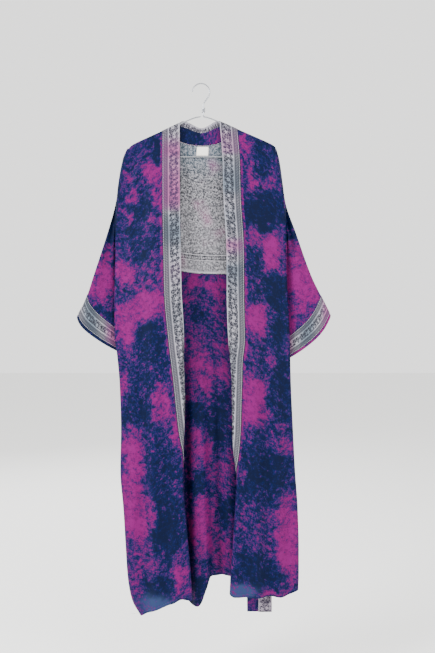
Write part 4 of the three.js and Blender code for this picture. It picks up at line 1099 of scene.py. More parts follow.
@made_once("materials", "label_tape")
def tape_material(name):
    material, tree, shader = new_material(name, Roughness=0.8, Specular_IOR_Level=0.25)
    cloth = cloth_uv(tree)
    shade = noise(tree, cloth, 300.0, 3.0, 0.6)
    put(tree, shader.inputs["Base Color"], blend(tree, shade, linear(214, 208, 198), linear(238, 234, 226)))
    bump(tree, shader, weave(tree, cloth, TAPE_THREADS, 0.3), 0.0003, 0.6)
    return material


@made_once("materials")
def thread_material(name, color):
    material, tree, shader = new_material(name, Roughness=0.6, Specular_IOR_Level=0.4)
    here = add_node(tree, "ShaderNodeTexCoord").outputs["Object"]
    darker = tuple(0.7 * channel for channel in color[:3]) + (1,)
    put(tree, shader.inputs["Base Color"], blend(tree, noise(tree, here, 700.0, 2.0, 0.5), darker, color))
    return material


@made_once("materials", "plated_wire")
def wire_material(name):
    material, tree, shader = new_material(name, Metallic=0.9)
    here = add_node(tree, "ShaderNodeTexCoord").outputs["Object"]
    wear = noise(tree, here, 90.0, 5.0, 0.7)
    put(tree, shader.inputs["Base Color"], blend(tree, wear, linear(118, 121, 128), linear(178, 181, 186)))
    put(tree, shader.inputs["Roughness"], wear * 0.2 + 0.16)
    return material


# Settings


def size_property(name, description, default, **limits):
    return bpy.props.FloatProperty(
        name=name, description=description, default=default, subtype="DISTANCE", **limits
    )


def color_property(name, description, red, green, blue):
    default = linear(red, green, blue)[:3]
    return bpy.props.FloatVectorProperty(
        name=name, description=description, subtype="COLOR", size=3, min=0, max=1, default=default
    )


class RobeCloth(bpy.types.PropertyGroup):
    """Sizes of the cloth."""

    wall: size_property("Cloth thickness", "Wall of each dyed panel", 0.0012, min=0.0005)
    hem: size_property("Hem width", "Width of the narrow rolled hems", 0.008, min=0.002)
    hem_rise: size_property("Hem rise", "How much thicker the cloth is at a hem", 0.0009)
    band_lift: size_property("Border lift", "How far the woven border stands on the panel", 0.0006)
    stitch: size_property("Stitch length", "Length of one stitch", 0.0032, min=0.001)
    stitch_pitch: size_property("Stitch pitch", "From one stitch to the next", 0.0052, min=0.002)


class RobeDyes(bpy.types.PropertyGroup):
    """Colours of the dyed silk."""

    deep: color_property("Deep navy", "Darkest dye", 2, 10, 36)
    navy: color_property("Navy", "Dark dye", 4, 18, 60)
    violet: color_property("Violet", "Where both dyes meet", 44, 17, 74)
    magenta: color_property("Magenta", "Light dye", 80, 7, 66)
    pink: color_property("Pink", "Lightest of the dye", 96, 13, 80)
    # Painted sheen and painted light showing through the thin single cloth at the hem corners
    painted_sheen_blue: color_property("Painted sheen blue", "Thin single cloth at the hem corners", 56, 72, 110)


class RobeBorder(bpy.types.PropertyGroup):
    """Colours of the woven border and the lining."""

    ground: color_property("Ground", "Dark ground of the border", 6, 10, 24)
    plum: color_property("Plum ground", "Where the ground runs to plum", 40, 14, 52)
    silver: color_property("Silver thread", "Light thread", 142, 140, 150)
    rose: color_property("Rose thread", "Thread dyed pink", 140, 70, 116)
    teal: color_property("Teal thread", "Thread dyed teal", 58, 84, 100)
    heather_dark: color_property("Heather dark", "Dark flecks of the lining", 20, 24, 30)
    heather_light: color_property("Heather light", "Light flecks of the lining", 150, 148, 154)


class RobeStage(bpy.types.PropertyGroup):
    """The studio round the robe."""

    distance: size_property("Camera distance", "From the camera to the hanger's plane", 2.0)
    view_height: size_property("View height", "Height of the view at the robe", 1.894)
    floor_z: size_property("Floor height", "Height of the floor", -1.78)
    light: bpy.props.FloatProperty(name="Light", description="Power that the lamps share", default=150.0)


# Pieces


def hem_profile(distance, cloth):
    """Extra thickness at a distance in from an edge: a rolled hem with a step at its inner side."""
    return cloth.hem_rise / MM * (1 - ease((distance - cloth.hem / MM * 0.8) / (cloth.hem / MM * 0.35)))


def painted_sheen_at(x, z):
    """Where the single cloth close to the hem's corners gets a painted sheen and painted light showing
    through it.
    """
    near = 0.0
    for middle_x, middle_z, half_width, half_height in PAINTED_SHEEN_CORNERS:
        near = near + np.exp(-(((x - middle_x) / half_width) ** 2 + ((z - middle_z) / half_height) ** 2))
    return np.clip(0.9 * near * (0.5 + lattice_noise(x / 9, z / 7, 79)), 0, 0.42)


def down_rows(count, starts, ends):
    """Places down a panel, with more of them the given millimetres from its top and its hem."""
    crowds = ([place / CUT_LENGTH for place in places] for places in (starts, ends))
    return spaced(count, 0.0, 1.0, *crowds)


def hemmed_wall(points, normals, to_hem, out_share, in_share, inward=None):
    """Outer and inner face of a panel: a thin wall that thickens at its rolled hem."""
    cloth = bpy.context.scene.robe_cloth
    extra = hem_profile(to_hem, cloth)
    inward = normals if inward is None else inward
    outer = points + normals * (out_share * extra)[..., None]
    return outer, points - inward * (cloth.wall / MM + in_share * extra)[..., None]


def darker_hem(tone, to_hem):
    return mix(tone, HEM_TONE, (1 - ease(to_hem / HEM_TONE_REACH)) * 0.5)


def silk_piece(name, outer, inner, uv, node, attributes, wrap=False):
    mesh = cloth_mesh(name, outer, inner, uv, wrap=wrap, attributes=attributes)
    return add_piece(name, mesh, [silk_material()], "dyed_silk", node)


def build_front(side):
    columns_in = spaced(FRONT_COLUMNS, crowd_start=(0.004, 0.012))
    down = down_rows(FRONT_ROWS, (0.5, 1.5, 3), (2, 5, 8, 10))[:, None] + 0 * columns_in[None]
    z_guess = -130 - 1350 * down
    for _ in range(4):
        across = mix(-side.width_at(z_guess), -0.2, columns_in[None] + 0 * down)
        drop = down * side.hem_drop(across)
        z_guess = side.point(across, drop)[..., 2]
    points = side.point(across, drop)
    normals = facing(grid_normals(points), FRONT)
    to_hem = side.hem_drop(across) - drop
    outer, inner = hemmed_wall(points, normals, to_hem, 0.4, 0.6)
    uv = np.stack([across * MM + DYE_PLACE[side.name], drop * MM], -1)
    x, z = points[..., 0], points[..., 2]
    selvedge = ease((across + SELVEDGE_WIDTH) / 1.2)
    tone = mix(dye_tone(side.patches, x, z), SELVEDGE_TONE * ease((-110 - z) / 60) + 0.1, selvedge * 0.75)
    # "thin" carries the painted sheen and painted light through the cloth at the hem corners
    attributes = {"tone": darker_hem(tone, to_hem), "thin": painted_sheen_at(x, z)}
    name, node = f"front_{side.name}_cloth", f"front_panel_{side.name}"
    piece = silk_piece(name, outer, inner, uv, node, attributes)


def build_back():
    across_in = spaced(BACK_COLUMNS, crowd_start=(0.002, 0.006), crowd_end=(0.002, 0.006))
    corners = [share_at_top(HANGER_MIDDLE + out) for out in (NECK_HALF, NECK_HALF - NECK_CURL)]
    corners += [share_at_top(HANGER_MIDDLE - out) for out in (NECK_HALF, NECK_HALF - NECK_CURL)]
    across_in = np.unique(np.round(np.concatenate([across_in, corners]), 5))
    shares = down_rows(BACK_ROWS, (1.5, 4), (2, 5, 8, 10))
    share = across_in[None] + 0 * shares[:, None]
    drop = mix(back_start(share), back_hem_drop(share), shares[:, None])
    points = back_point(share, drop)
    normals = facing(grid_normals(points), BACK)
    to_hem = back_hem_drop(share) - drop
    outer, inner = hemmed_wall(points, normals, to_hem, 0.4, 0.6)
    uv = np.stack([points[..., 0] * MM + DYE_PLACE["back"], drop * MM], -1)
    x, z = points[..., 0], points[..., 2]
    seen = np.exp(-(((x - 18) / 95) ** 4)) * ease((-500 - z) / 60)
    tone = mix(wandering_tone(x, z, 31), dye_tone(PATCHES_BACK_INSIDE, x, z), seen)
    # "thin" carries the painted sheen and painted light through the cloth at the hem corners
    attributes = {"tone": darker_hem(tone, to_hem), "thin": painted_sheen_at(x, z)}
    piece = silk_piece("back_panel_cloth", outer, inner, uv, "back_panel", attributes)
    loops = [build_loop(-LOOP_X, "belt_loop_right"), build_loop(LOOP_X, "belt_loop_left")]


def build_band(side):
    cloth = bpy.context.scene.robe_cloth
    shares = down_rows(BACK_ROWS, (0.5, 1.5, 3), (2, 5))
    places = np.array([-1.2, 0.2, 2, 5, 9, 13, 17, 21, 26, 31, 36, 41, 45, 48, 49.3, BAND_WIDTH])
    across = places[None] + 0 * shares[:, None]
    drop = shares[:, None] * side.hem_drop(across)
    points = side.point(across, drop)
    normals = facing(grid_normals(points), FRONT)
    lift = cloth.band_lift / MM
    edge = rounded((BAND_WIDTH - across + 0.15) / 1.6) * rounded((across + 1.45) / 1.2)
    low = lift + 1.3 * ease((across - 0.2) / 1.5)
    outer = points + normals * (lift * edge)[..., None]
    inner = points + normals * (lift * edge - 0.45 - (low - 0.2) * edge)[..., None]
    uv = np.stack([across * MM, drop * MM + {"right": 0.37, "left": 2.11}[side.name]], -1)
    attributes = {"hue": table(side.hues, "z", "hue", points[..., 2])}
    node = f"front_band_{side.name}"
    name = node + "_cloth"
    mesh = cloth_mesh(name, outer, inner, uv, attributes=attributes)
    material = border_material("band_weave", LADDER_WIDTH, BAND_WIDTH)
    piece = add_piece(name, mesh, [material], "woven_border", node)


def build_neck():
    cloth = bpy.context.scene.robe_cloth
    turns = np.concatenate([np.linspace(-1, 0, 9)[:-1], np.linspace(0, 1, 91), np.linspace(1, 2, 9)[1:]])
    turn, up = np.meshgrid(turns, np.linspace(0, 1, 15), indexing="ij")
    points = neck_point(turn, up)
    normals = facing(grid_normals(points), BACK)
    rim = 0.5 * ease((up - 0.68) / 0.05)
    outer = points + normals * 0.2
    inner = points - normals * (cloth.wall / MM + 0.3 + rim)[..., None]
    uv = np.stack([BAND_WIDTH * MM * up, turn * 0.31 + 5.4], -1)
    silk_inside = (up[:-1, :-1] < 0.67).astype(np.int32)
    attributes = {"tone": 0.08 + 0.44 * ease((turn - 0.34) / 0.3), "hue": 0.55 + 0 * turn}
    mesh = cloth_mesh("neck_band_cloth", outer, inner, uv, attributes=attributes, inner_slots=silk_inside)
    materials = [border_material("band_weave", LADDER_WIDTH, BAND_WIDTH), silk_material()]
    piece = add_piece("neck_band_cloth", mesh, materials, "woven_border", "neck_band")


def laps_round():
    """Places round a sleeve, with more of them at its two folds."""
    half = spaced(SLEEVE_COLUMNS, 0.0, 1.0, SLEEVE_CROWD, SLEEVE_CROWD)[:-1]
    return np.concatenate([half, 1 + half])


def tube_normals(points):
    return facing(grid_normals(points, wrap=True), points - points.mean(1, keepdims=True))


def build_sleeve(is_right):
    node = "sleeve_right" if is_right else "sleeve_left"
    alongs = spaced(SLEEVE_ROWS, crowd_start=(0.004,), crowd_end=(0.004, 0.009))
    along, lap = np.meshgrid(alongs, laps_round(), indexing="ij")
    points = sleeve_point(is_right, along, lap)
    normals = tube_normals(points)
    inward = normals.copy()
    inward[0, :, 0] = 0
    inward[0] /= np.maximum(np.linalg.norm(inward[0], axis=-1, keepdims=True), 1e-6)
    to_hem = (1 - along) * sleeve_length(is_right, np.where(lap <= 1, lap, 2 - lap))
    outer, inner = hemmed_wall(points, normals, to_hem, 0.3, 0.5, inward)
    closed = np.concatenate([points, points[:, :1]], 1)
    uv = closed[..., (0, 2)] * MM + DYE_PLACE[node]
    x, z = points[..., 0], points[..., 2]
    front = dye_tone(PATCHES_SLEEVE_RIGHT if is_right else PATCHES_SLEEVE_LEFT, x, z)
    behind = wandering_tone(x + 300, z, 47 if is_right else 53)
    tone = np.where(lap <= 1, front, mix(front, behind, ease(np.minimum(lap - 1, 2 - lap) / 0.2)))
    tone = np.where(along > 0.965, (0.15 if is_right else 0.8), tone)
    piece = silk_piece(node + "_cloth", outer, inner, uv, node, {"tone": tone}, wrap=True)


def build_cuff(is_right):
    name = "right" if is_right else "left"
    laps = laps_round()
    shares = np.array([0, 0.02, 0.06, 0.15, 0.25, 0.35, 0.45, 0.55, 0.65, 0.75, 0.85, 0.94, 0.98, 1.0])
    share, lap = np.meshgrid(shares, laps, indexing="ij")
    points = sleeve_point(is_right, cuff_along(is_right, lap, share), lap)
    normals = tube_normals(points)
    edge = rounded(np.minimum(share, 1 - share) * CUFF_BAND_WIDTH / 1.4 + 0.1)
    outer = points + normals * (0.25 + 0.9 * edge)[..., None]
    inner = points + normals * 0.12
    share_uv, lap_uv = np.meshgrid(shares, np.concatenate([laps, [2.0]]), indexing="ij")
    uv = np.stack([share_uv * CUFF_BAND_WIDTH * MM, lap_uv * 0.33 + (8.2 if is_right else 9.6)], -1)
    hue = 0.5 + 0.45 * np.sin(points[..., 0] / 21.0 + (1.1 if is_right else 2.6))
    mesh = cloth_mesh(f"cuff_{name}_cloth", outer, inner, uv, wrap=True, attributes={"hue": hue})
    material = border_material("cuff_weave", LADDER_WIDTH, CUFF_BAND_WIDTH, LADDER_WIDTH)
    piece = add_piece(f"cuff_{name}_cloth", mesh, [material], "woven_border", f"cuff_band_{name}")


def lining_start(share):
    return np.maximum(back_start(share) + 1.5, LINING_TOP_DROP)


def build_lining():
    shares_down = spaced(76, crowd_end=(0.004, 0.01))
    x = np.linspace(-LINING_HALF, LINING_HALF, 75)
    share = share_at_top(x)[None] + 0 * shares_down[:, None]
    end = drop_to(shoulder_z(x), table(LINING_BOTTOM, "x", "z", x))[None]
    drop = mix(lining_start(share), end, shares_down[:, None])
    points = back_point(share, drop)
    normals = facing(grid_normals(points), BACK)
    outer = points - normals * 2.05
    hem = 0.5 * (1 - ease((end - drop - 6) / 2))
    inner = points - normals * (2.9 + hem)[..., None]
    uv = np.stack([points[..., 0] * MM, (end - drop) * MM], -1)
    mesh = cloth_mesh("back_lining_cloth", outer, inner, uv)
    piece = add_piece("back_lining_cloth", mesh, [lining_material()], "heathered_lining", "back_lining")


def build_label():
    x = np.linspace(LABEL_LEFT, LABEL_RIGHT, 19)
    z = np.linspace(LABEL_TOP, LABEL_BOTTOM, 15)
    share = share_at_top(x)[None] + 0 * z[:, None]
    drop = drop_to(shoulder_z(x)[None], z[:, None])
    points = back_point(share, drop)
    normals = facing(grid_normals(points), BACK)
    outer = points - normals * 3.05
    from_edge = np.minimum(np.minimum(x - x[0], x[-1] - x)[None], np.minimum(z[0] - z, z - z[-1])[:, None])
    inner = points - normals * (3.6 + 0.35 * ease(from_edge / 1.5))[..., None]
    uv = np.stack([points[..., 0] * MM, points[..., 2] * MM], -1)
    mesh = cloth_mesh("neck_label_cloth", outer, inner, uv)
    piece = add_piece("neck_label_cloth", mesh, [tape_material()], "plain_tape", "neck_label")


def smooth_path(points, count):
    """Points along a centripetal curve through the given ones, with their places from 0 to their number."""
    points = np.asarray(points, float)
    closed = np.concatenate([[2 * points[0] - points[1]], points, [2 * points[-1] - points[-2]]])
    gaps = np.maximum(np.linalg.norm(np.diff(closed, axis=0), axis=1), 1e-9) ** 0.5
    places = np.linspace(0, len(points) - 1, count)
    i = np.minimum(places.astype(int), len(points) - 2)
    t = (places - i)[:, None]
    p0, p1, p2, p3 = (closed[i + k] for k in range(4))
    d0, d1, d2 = (gaps[i + k][:, None] for k in range(3))
    m1 = ((p1 - p0) / d0 - (p2 - p0) / (d0 + d1) + (p2 - p1) / d1) * d1
    m2 = ((p2 - p1) / d1 - (p3 - p1) / (d1 + d2) + (p3 - p2) / d2) * d1
    curve = (2 * t ** 3 - 3 * t * t + 1) * p1 + (t ** 3 - 2 * t * t + t) * m1
    return curve + (3 * t * t - 2 * t ** 3) * p2 + (t ** 3 - t * t) * m2, places


def loop_base(x, z):
    """How far behind the hanger's plane the back panel's outer face is at a place."""
    right, left = table(SIDE, "z", "right", z), table(SIDE, "z", "left", z)
    share = (x - right) / (left - right)
    return back_point(share, drop_to(shoulder_z(top_at_share(share)), z))[..., 1]


def build_belt():
    base = float(loop_base(LOOP_X, LOOP_Z))
    up = [(x, y, z) for x, y, z in zip(BELT["x"], BELT["back"], BELT["z"])]
    down = [(x, y, z) for x, y, z in zip(BELT["otherX"], BELT["otherBack"], BELT["z"])][::-1]
    path = up + [(LOOP_X, base + SEAM_GAP + 2.3, LOOP_Z + 6)] + down
    width = np.concatenate([BELT["width"], [15], BELT["otherWidth"][::-1]])
    thick = np.concatenate([BELT["thick"], [4.6], BELT["thick"][::-1]])
    points, places = smooth_path(path, 330)
    width = np.interp(places, np.arange(len(width)), width)
    thick = np.interp(places, np.arange(len(thick)), thick)
    tangent = np.gradient(points, axis=0)
    tangent /= np.linalg.norm(tangent, axis=1, keepdims=True)
    across = np.cross((0.0, 1.0, 0.0), tangent)
    across /= np.linalg.norm(across, axis=1, keepdims=True)
    out = np.cross(tangent, across)
    side = np.array([-0.5, -0.49, -0.44, -0.35, -0.22, -0.08, 0.08, 0.22, 0.35, 0.44, 0.49, 0.5])
    gather = ease((thick - 2.2) / 1.6)[:, None]
    pleat = gather * 0.5 * np.cos(side[None] * 4 * 2 * math.pi)
    length = np.concatenate([[0], np.cumsum(np.linalg.norm(np.diff(points, axis=0), axis=1))])
    bow = 0.9 * np.sin(length / 90)[:, None] * (1 - gather) * (side[None] * 2) ** 2
    half = thick[:, None] * (0.25 + 0.2 * rounded((0.5 - np.abs(side)) / 0.06))[None]
    centre = points[:, None] + across[:, None] * (side[None] * width[:, None])[..., None]
    outer = centre + out[:, None] * (half * (1 + 0.3 * pleat) + bow)[..., None]
    inner = centre - out[:, None] * (half * (1 - 0.3 * pleat) - bow)[..., None]
    across_uv, along_uv = np.meshgrid((side + 0.5) * 0.04, length * MM + DYE_PLACE["belt"])
    uv = np.stack([across_uv, along_uv], -1)
    first = (places < len(BELT["z"]) - 0.5)[:-1, None] & np.ones((1, len(side) - 1), bool)
    tone = 0.3 + 0.4 * lattice_noise(length / 60, 0 * length, 61)[:, None] + 0 * side[None]
    front_is_outer = out[10, 1] < 0
    outer_slots = np.where(first, 1, 0) if front_is_outer else np.where(first, 0, 1)
    inner_slots = 1 - outer_slots
    mesh = cloth_mesh(
        "belt_cloth", outer, inner, uv, attributes={"tone": tone, "hue": 0.62 + 0 * tone},
        outer_slots=outer_slots.astype(np.int32), inner_slots=inner_slots.astype(np.int32),
    )
    materials = [border_material("belt_weave", 0.5, 40.0), silk_material()]
    piece = add_piece("belt_cloth", mesh, materials, "woven_border", "belt")


def build_loop(x, node):
    t = np.linspace(0, 1, 41)
    z = mix(LOOP_Z + LOOP_HALF, LOOP_Z - LOOP_HALF, t)
    stand = LOOP_STAND * rounded(np.minimum(t, 1 - t) / 0.3)
    side = np.array([-0.5, -0.42, -0.2, 0, 0.2, 0.42, 0.5])
    place = x + side[None] * LOOP_WIDTH + 0 * z[:, None]
    level = z[:, None] + 0 * side[None]
    y = loop_base(place, level) + SEAM_GAP + stand[:, None]
    crown = 0.25 * (1 - (2 * side[None]) ** 2)
    inner = np.stack([place, y + crown, level], -1)
    outer = np.stack([place, y + 0.85 + crown, level], -1)
    uv = np.stack([side[None] * LOOP_WIDTH * MM + DYE_PLACE["loop"] + 0 * y, level * MM], -1)
    return silk_piece(node + "_cloth", outer, inner, uv, node, {"tone": LOOP_TONE + 0 * y})


def tube_mesh(name, points, radius, sides=16):
    """A round wire along points, with domed ends."""
    points = np.asarray(points, float)
    tangent = np.gradient(points, axis=0)
    tangent /= np.linalg.norm(tangent, axis=1, keepdims=True)
    normal = np.cross(tangent[0], (0.31, 0.9, 0.22))
    rings = []
    for point, along in zip(points, tangent):
        normal = normal - along * normal.dot(along)
        normal /= np.linalg.norm(normal)
        other = np.cross(along, normal)
        angle = np.arange(sides) * 2 * math.pi / sides
        ring = point + radius * (np.cos(angle)[:, None] * normal + np.sin(angle)[:, None] * other)
        rings.append(ring)
    dome = ((0.5, 0.87), (0.85, 0.5))
    start = [points[0] + (rings[0] - points[0]) * s - tangent[0] * radius * d for d, s in dome][::-1]
    end = [points[-1] + (rings[-1] - points[-1]) * s + tangent[-1] * radius * d for d, s in dome]
    rings = start + rings + end
    tips = [points[0] - tangent[0] * radius, points[-1] + tangent[-1] * radius]
    vertices = np.concatenate(rings + [tips])
    count = len(rings)
    faces = []
    for i in range(count - 1):
        for k in range(sides):
            a, b = i * sides + k, i * sides + (k + 1) % sides
            faces.append((a, b, b + sides, a + sides))
    tip = count * sides
    last = tip - sides
    for k in range(sides):
        faces.append((tip, (k + 1) % sides, k))
        faces.append((tip + 1, last + k, last + (k + 1) % sides))
    mesh = bpy.data.meshes.new(name)
    mesh.from_pydata((vertices * MM).tolist(), [], faces)
    mesh.polygons.foreach_set("use_smooth", np.ones(len(faces), bool))
    mesh.update()
    return mesh


def hanger_path():
    """Wire path: hook, neck, left arm, bar, right arm and back to the neck."""
    path = []
    centre_z = WIRE_RADIUS - HOOK_RADIUS
    for k in range(12):
        angle = math.radians(mix(HOOK_TIP_ANGLE, HOOK_END_ANGLE, k / 11))
        path.append((HOOK_RADIUS * math.cos(angle), centre_z + HOOK_RADIUS * math.sin(angle)))
    path += [(15, -46), (NECK_X + 1.5, NECK_TOP + 1), (NECK_X, NECK_TOP - 10)]
    path += [(NECK_X, mix(NECK_TOP, NECK_BOTTOM, 0.7)), (NECK_X + 1, NECK_BOTTOM)]

    def arm(out):
        return float(shoulder_z(HANGER_MIDDLE + out)) - WIRE_DROP

    path += [(HANGER_MIDDLE + out, arm(out)) for out in (16, 32, 60, 88, 115, 137, 160, 175, 188)]
    corner = [
        (HANGER_TIP - 3, arm(HANGER_TIP - 3)),
        (HANGER_TIP + 2.5, mix(arm(HANGER_TIP), HANGER_BAR_Z, 0.5)),
        (HANGER_TIP - HANGER_CORNER + 4, HANGER_BAR_Z + 2),
        (HANGER_TIP - 2 * HANGER_CORNER, HANGER_BAR_Z),
    ]
    path += [(HANGER_MIDDLE + x, z) for x, z in corner]
    path += [(HANGER_MIDDLE + out, HANGER_BAR_Z) for out in (120, 0, -120)]
    path += [(HANGER_MIDDLE - x, z) for x, z in corner[::-1]]
    path += [(HANGER_MIDDLE - out, arm(out)) for out in (188, 175, 160, 137, 115, 88, 60, 32, 16, 4)]
    return [(x, 0.0, z) for x, z in path]


def build_hanger():
    points, _ = smooth_path(hanger_path(), 520)
    turns = np.linspace(0, 1, 90)
    angle = 2 * math.pi * 2.5 * turns
    radius = 2 * WIRE_RADIUS + SEAM_GAP
    coil = np.stack([NECK_X + radius * np.cos(angle), radius * np.sin(angle), mix(-70, -82, turns)], -1)
    wires = (("hanger_wire", points, WIRE_RADIUS), ("hanger_twist", coil, WIRE_RADIUS - 0.15))
    for node, path, thick in wires:
        name = node + "_plated"
        add_piece(name, tube_mesh(name, path, thick), [wire_material()], "wire", node)


# Sewing


@made_once("node_groups", "stitch_rows")
def stitch_tree(name):
    """Geometry nodes that lay a stitch at each step along lines."""
    tree = bpy.data.node_groups.new(name, "GeometryNodeTree")
    face = tree.interface
    face.new_socket(name="Lines", in_out="INPUT", socket_type="NodeSocketGeometry")
    for label, default in (("Pitch", 0.0052), ("Length", 0.0032), ("Radius", STITCH_RADIUS)):
        socket = face.new_socket(name=label, in_out="INPUT", socket_type="NodeSocketFloat")
        socket.default_value = default
        socket.subtype = "DISTANCE"
    face.new_socket(name="Thread", in_out="INPUT", socket_type="NodeSocketMaterial")
    face.new_socket(name="Stitches", in_out="OUTPUT", socket_type="NodeSocketGeometry")
    given = tree.nodes.new("NodeGroupInput").outputs
    out = tree.nodes.new("NodeGroupOutput").inputs
    lines = add_node(tree, "GeometryNodeMeshToCurve", {0: given["Lines"]}).outputs[0]
    inputs = {"Curve": lines, "Length": given["Pitch"]}
    points = add_node(tree, "GeometryNodeResampleCurve", inputs, mode="LENGTH").outputs[0]
    tangent = tree.nodes.new("GeometryNodeInputTangent").outputs[0]
    turn = add_node(tree, "FunctionNodeAlignRotationToVector", {"Vector": tangent}, axis="Z").outputs[0]
    inputs = {"Vertices": 6, "Radius": given["Radius"], "Depth": given["Length"]}
    rod = add_node(tree, "GeometryNodeMeshCylinder", inputs).outputs["Mesh"]
    inputs = {"Points": points, "Instance": rod, "Rotation": turn}
    placed = add_node(tree, "GeometryNodeInstanceOnPoints", inputs).outputs[0]
    real = add_node(tree, "GeometryNodeRealizeInstances", {0: placed}).outputs[0]
    inputs = {"Geometry": real, "Material": given["Thread"]}
    put(tree, out[0], add_node(tree, "GeometryNodeSetMaterial", inputs).outputs[0])
    return tree


def stitch_rows(name, lines, material):
    """Rows of stitches along lines of points in millimetres, as one plain mesh."""
    cloth = bpy.context.scene.robe_cloth
    vertices, edges = [], []
    for line in lines:
        start = len(vertices)
        vertices += (np.asarray(line) * MM).tolist()
        edges += [(start + i, start + i + 1) for i in range(len(line) - 1)]
    guide_mesh = bpy.data.meshes.new(name + "_guide")
    guide_mesh.from_pydata(vertices, edges, [])
    guide = bpy.data.objects.new(name + "_guide", guide_mesh)
    bpy.context.scene.collection.objects.link(guide)
    modifier = guide.modifiers.new("stitches", "NODES")
    modifier.node_group = stitch_tree()
    items = modifier.node_group.interface.items_tree
    sockets = {item.name: item.identifier for item in items if item.in_out == "INPUT"}
    modifier[sockets["Pitch"]] = cloth.stitch_pitch
    modifier[sockets["Length"]] = cloth.stitch
    modifier[sockets["Radius"]] = STITCH_RADIUS
    modifier[sockets["Thread"]] = material
    graph = bpy.context.evaluated_depsgraph_get()
    mesh = bpy.data.meshes.new_from_object(guide.evaluated_get(graph))
    guide.modifiers.remove(modifier)
    bpy.data.objects.remove(guide)
    if not mesh.polygons:
        raise RuntimeError(f"no stitches were made for {name}")
    mesh.name = name
    return mesh


def line_on(points, hint, lift):
    """The middle one of three lines of points, moved out from the surface that the three lie on."""
    normals = facing(grid_normals(points), hint)
    return points[1] + normals[1] * lift


def front_lines(side):
    """Lines of sewing on a front: both edges of its band, and the hem."""
    cloth = bpy.context.scene.robe_cloth
    lines = []
    shares = np.linspace(0.012, 0.996, 300)
    for place in (1.6, BAND_WIDTH - 2.2):
        across = place + 0.5 * THREE + 0 * shares
        points = side.point(across, shares * side.hem_drop(across))
        lines.append(line_on(points, FRONT, cloth.band_lift / MM + 0.12))
    across = mix(-side.width_at(-1490.0), -0.5, np.linspace(0.01, 0.985, 70)) + 0 * THREE
    points = side.point(across, side.hem_drop(across) - cloth.hem / MM + THREE)
    return lines + [line_on(points, FRONT, 0.3)]


def sleeve_lines(is_right):
    """Lines of sewing on a sleeve: both edges of its woven band."""
    lines = []
    for share in (0.035, 0.965):
        lap = np.linspace(0.02, 1.98, 180) + 0 * THREE
        points = sleeve_point(is_right, cuff_along(is_right, lap, share + 0.01 * THREE + 0 * lap), lap)
        lines.append(line_on(points, points - points.mean((0, 1)), 1.3))
    return lines


def back_lines():
    """The back's hem, sewn through to both faces."""
    cloth = bpy.context.scene.robe_cloth
    share = np.linspace(0.01, 0.99, 160) + 0 * THREE
    points = back_point(share, back_hem_drop(share) - cloth.hem / MM + THREE)
    return [line_on(points, BACK, lift) for lift in (0.3, -cloth.wall / MM - 0.5)]


def lining_lines():
    """The lining's hem and the four sides of the label."""
    x = np.linspace(-LINING_HALF + 3, LINING_HALF - 3, 90)
    end = drop_to(shoulder_z(x), table(LINING_BOTTOM, "x", "z", x))
    lines = [line_on(back_point(share_at_top(x) + 0 * THREE, end - 7 + THREE), BACK, -3.35)]
    inset = 2.0
    left, right = LABEL_LEFT + inset, LABEL_RIGHT - inset
    top, bottom = LABEL_TOP - inset, LABEL_BOTTOM + inset
    corners = [(left, top), (right, top), (right, bottom), (left, bottom), (left, top)]
    for (x0, z0), (x1, z1) in zip(corners, corners[1:]):
        t = np.linspace(0, 1, 12)
        x, z = mix(x0, x1, t), mix(z0, z1, t)
        points = back_point(share_at_top(x), drop_to(shoulder_z(x), z))
        lines.append(points - np.array((0, 3.95, 0)))
    return lines


def build_stitches():
    light = thread_material("light_thread", linear(196, 192, 204))
    dark = thread_material("dark_thread", linear(52, 46, 92))
    right, left = front_lines(RIGHT), front_lines(LEFT)
    rows = (
        ("stitches_front_bands", right[:2] + left[:2], light, "woven_border"),
        ("stitches_cuffs", sleeve_lines(True) + sleeve_lines(False), light, "woven_border"),
        ("stitches_hems", [right[2], left[2]] + back_lines(), dark, "dyed_silk"),
        ("stitches_lining", lining_lines(), light, "heathered_lining"),
    )
    for name, lines, material, slot in rows:
        mesh = stitch_rows(name, lines, material)
        mesh.materials.clear()
        add_piece(name, mesh, [material], slot)


# Stage


def link(name, data):
    """A new object in the scene."""
    thing = bpy.data.objects.new(name, data)
    bpy.context.scene.collection.objects.link(thing)
    return thing


def build_stage():
    stage = bpy.context.scene.robe_stage
    middle = Vector(VIEW_MIDDLE)
    camera_data = bpy.data.cameras.new("front_camera")
    camera_data.sensor_fit = "VERTICAL"
    camera_data.sensor_height = SENSOR_HEIGHT
    camera_data.lens = SENSOR_HEIGHT * stage.distance / stage.view_height
    camera_data.clip_end = 60.0
    camera = link("front_camera", camera_data)
    camera.location = (middle.x, -stage.distance, middle.z)
    camera.rotation_euler = (math.pi / 2, 0, 0)
    bpy.context.scene.camera = camera

    floor_mesh = bpy.data.meshes.new("floor")
    reach = FLOOR_REACH
    corners = [(-reach, -reach), (reach, -reach), (reach, reach), (-reach, reach)]
    floor_mesh.from_pydata([(x, y, stage.floor_z) for x, y in corners], [], [(0, 1, 2, 3)])
    material, _, shader = new_material("pale_floor", Roughness=0.9, Specular_IOR_Level=0.1)
    shader.inputs["Base Color"].default_value = (0.86, 0.86, 0.85, 1)
    floor_mesh.materials.append(material)
    link("floor", floor_mesh)

    world = bpy.data.worlds.new("studio")
    world.use_nodes = True
    background = world.node_tree.nodes["Background"].inputs
    background["Color"].default_value = (1.0, 0.995, 0.985, 1)
    background["Strength"].default_value = WORLD_STRENGTH
    bpy.context.scene.world = world
    for name, place, size, share in LAMPS:
        lamp_data = bpy.data.lights.new(name, "AREA")
        lamp_data.energy = stage.light * share
        lamp_data.size = size
        lamp = link(name, lamp_data)
        lamp.location = place
        lamp.rotation_euler = (middle - Vector(place)).to_track_quat("-Z", "Y").to_euler()


# Operators


class BuildStep:
    """What all operators share: each one runs its build functions in turn."""

    steps = ()

    def execute(self, context):
        for build, *values in self.steps:
            build(*values)
        return {"FINISHED"}


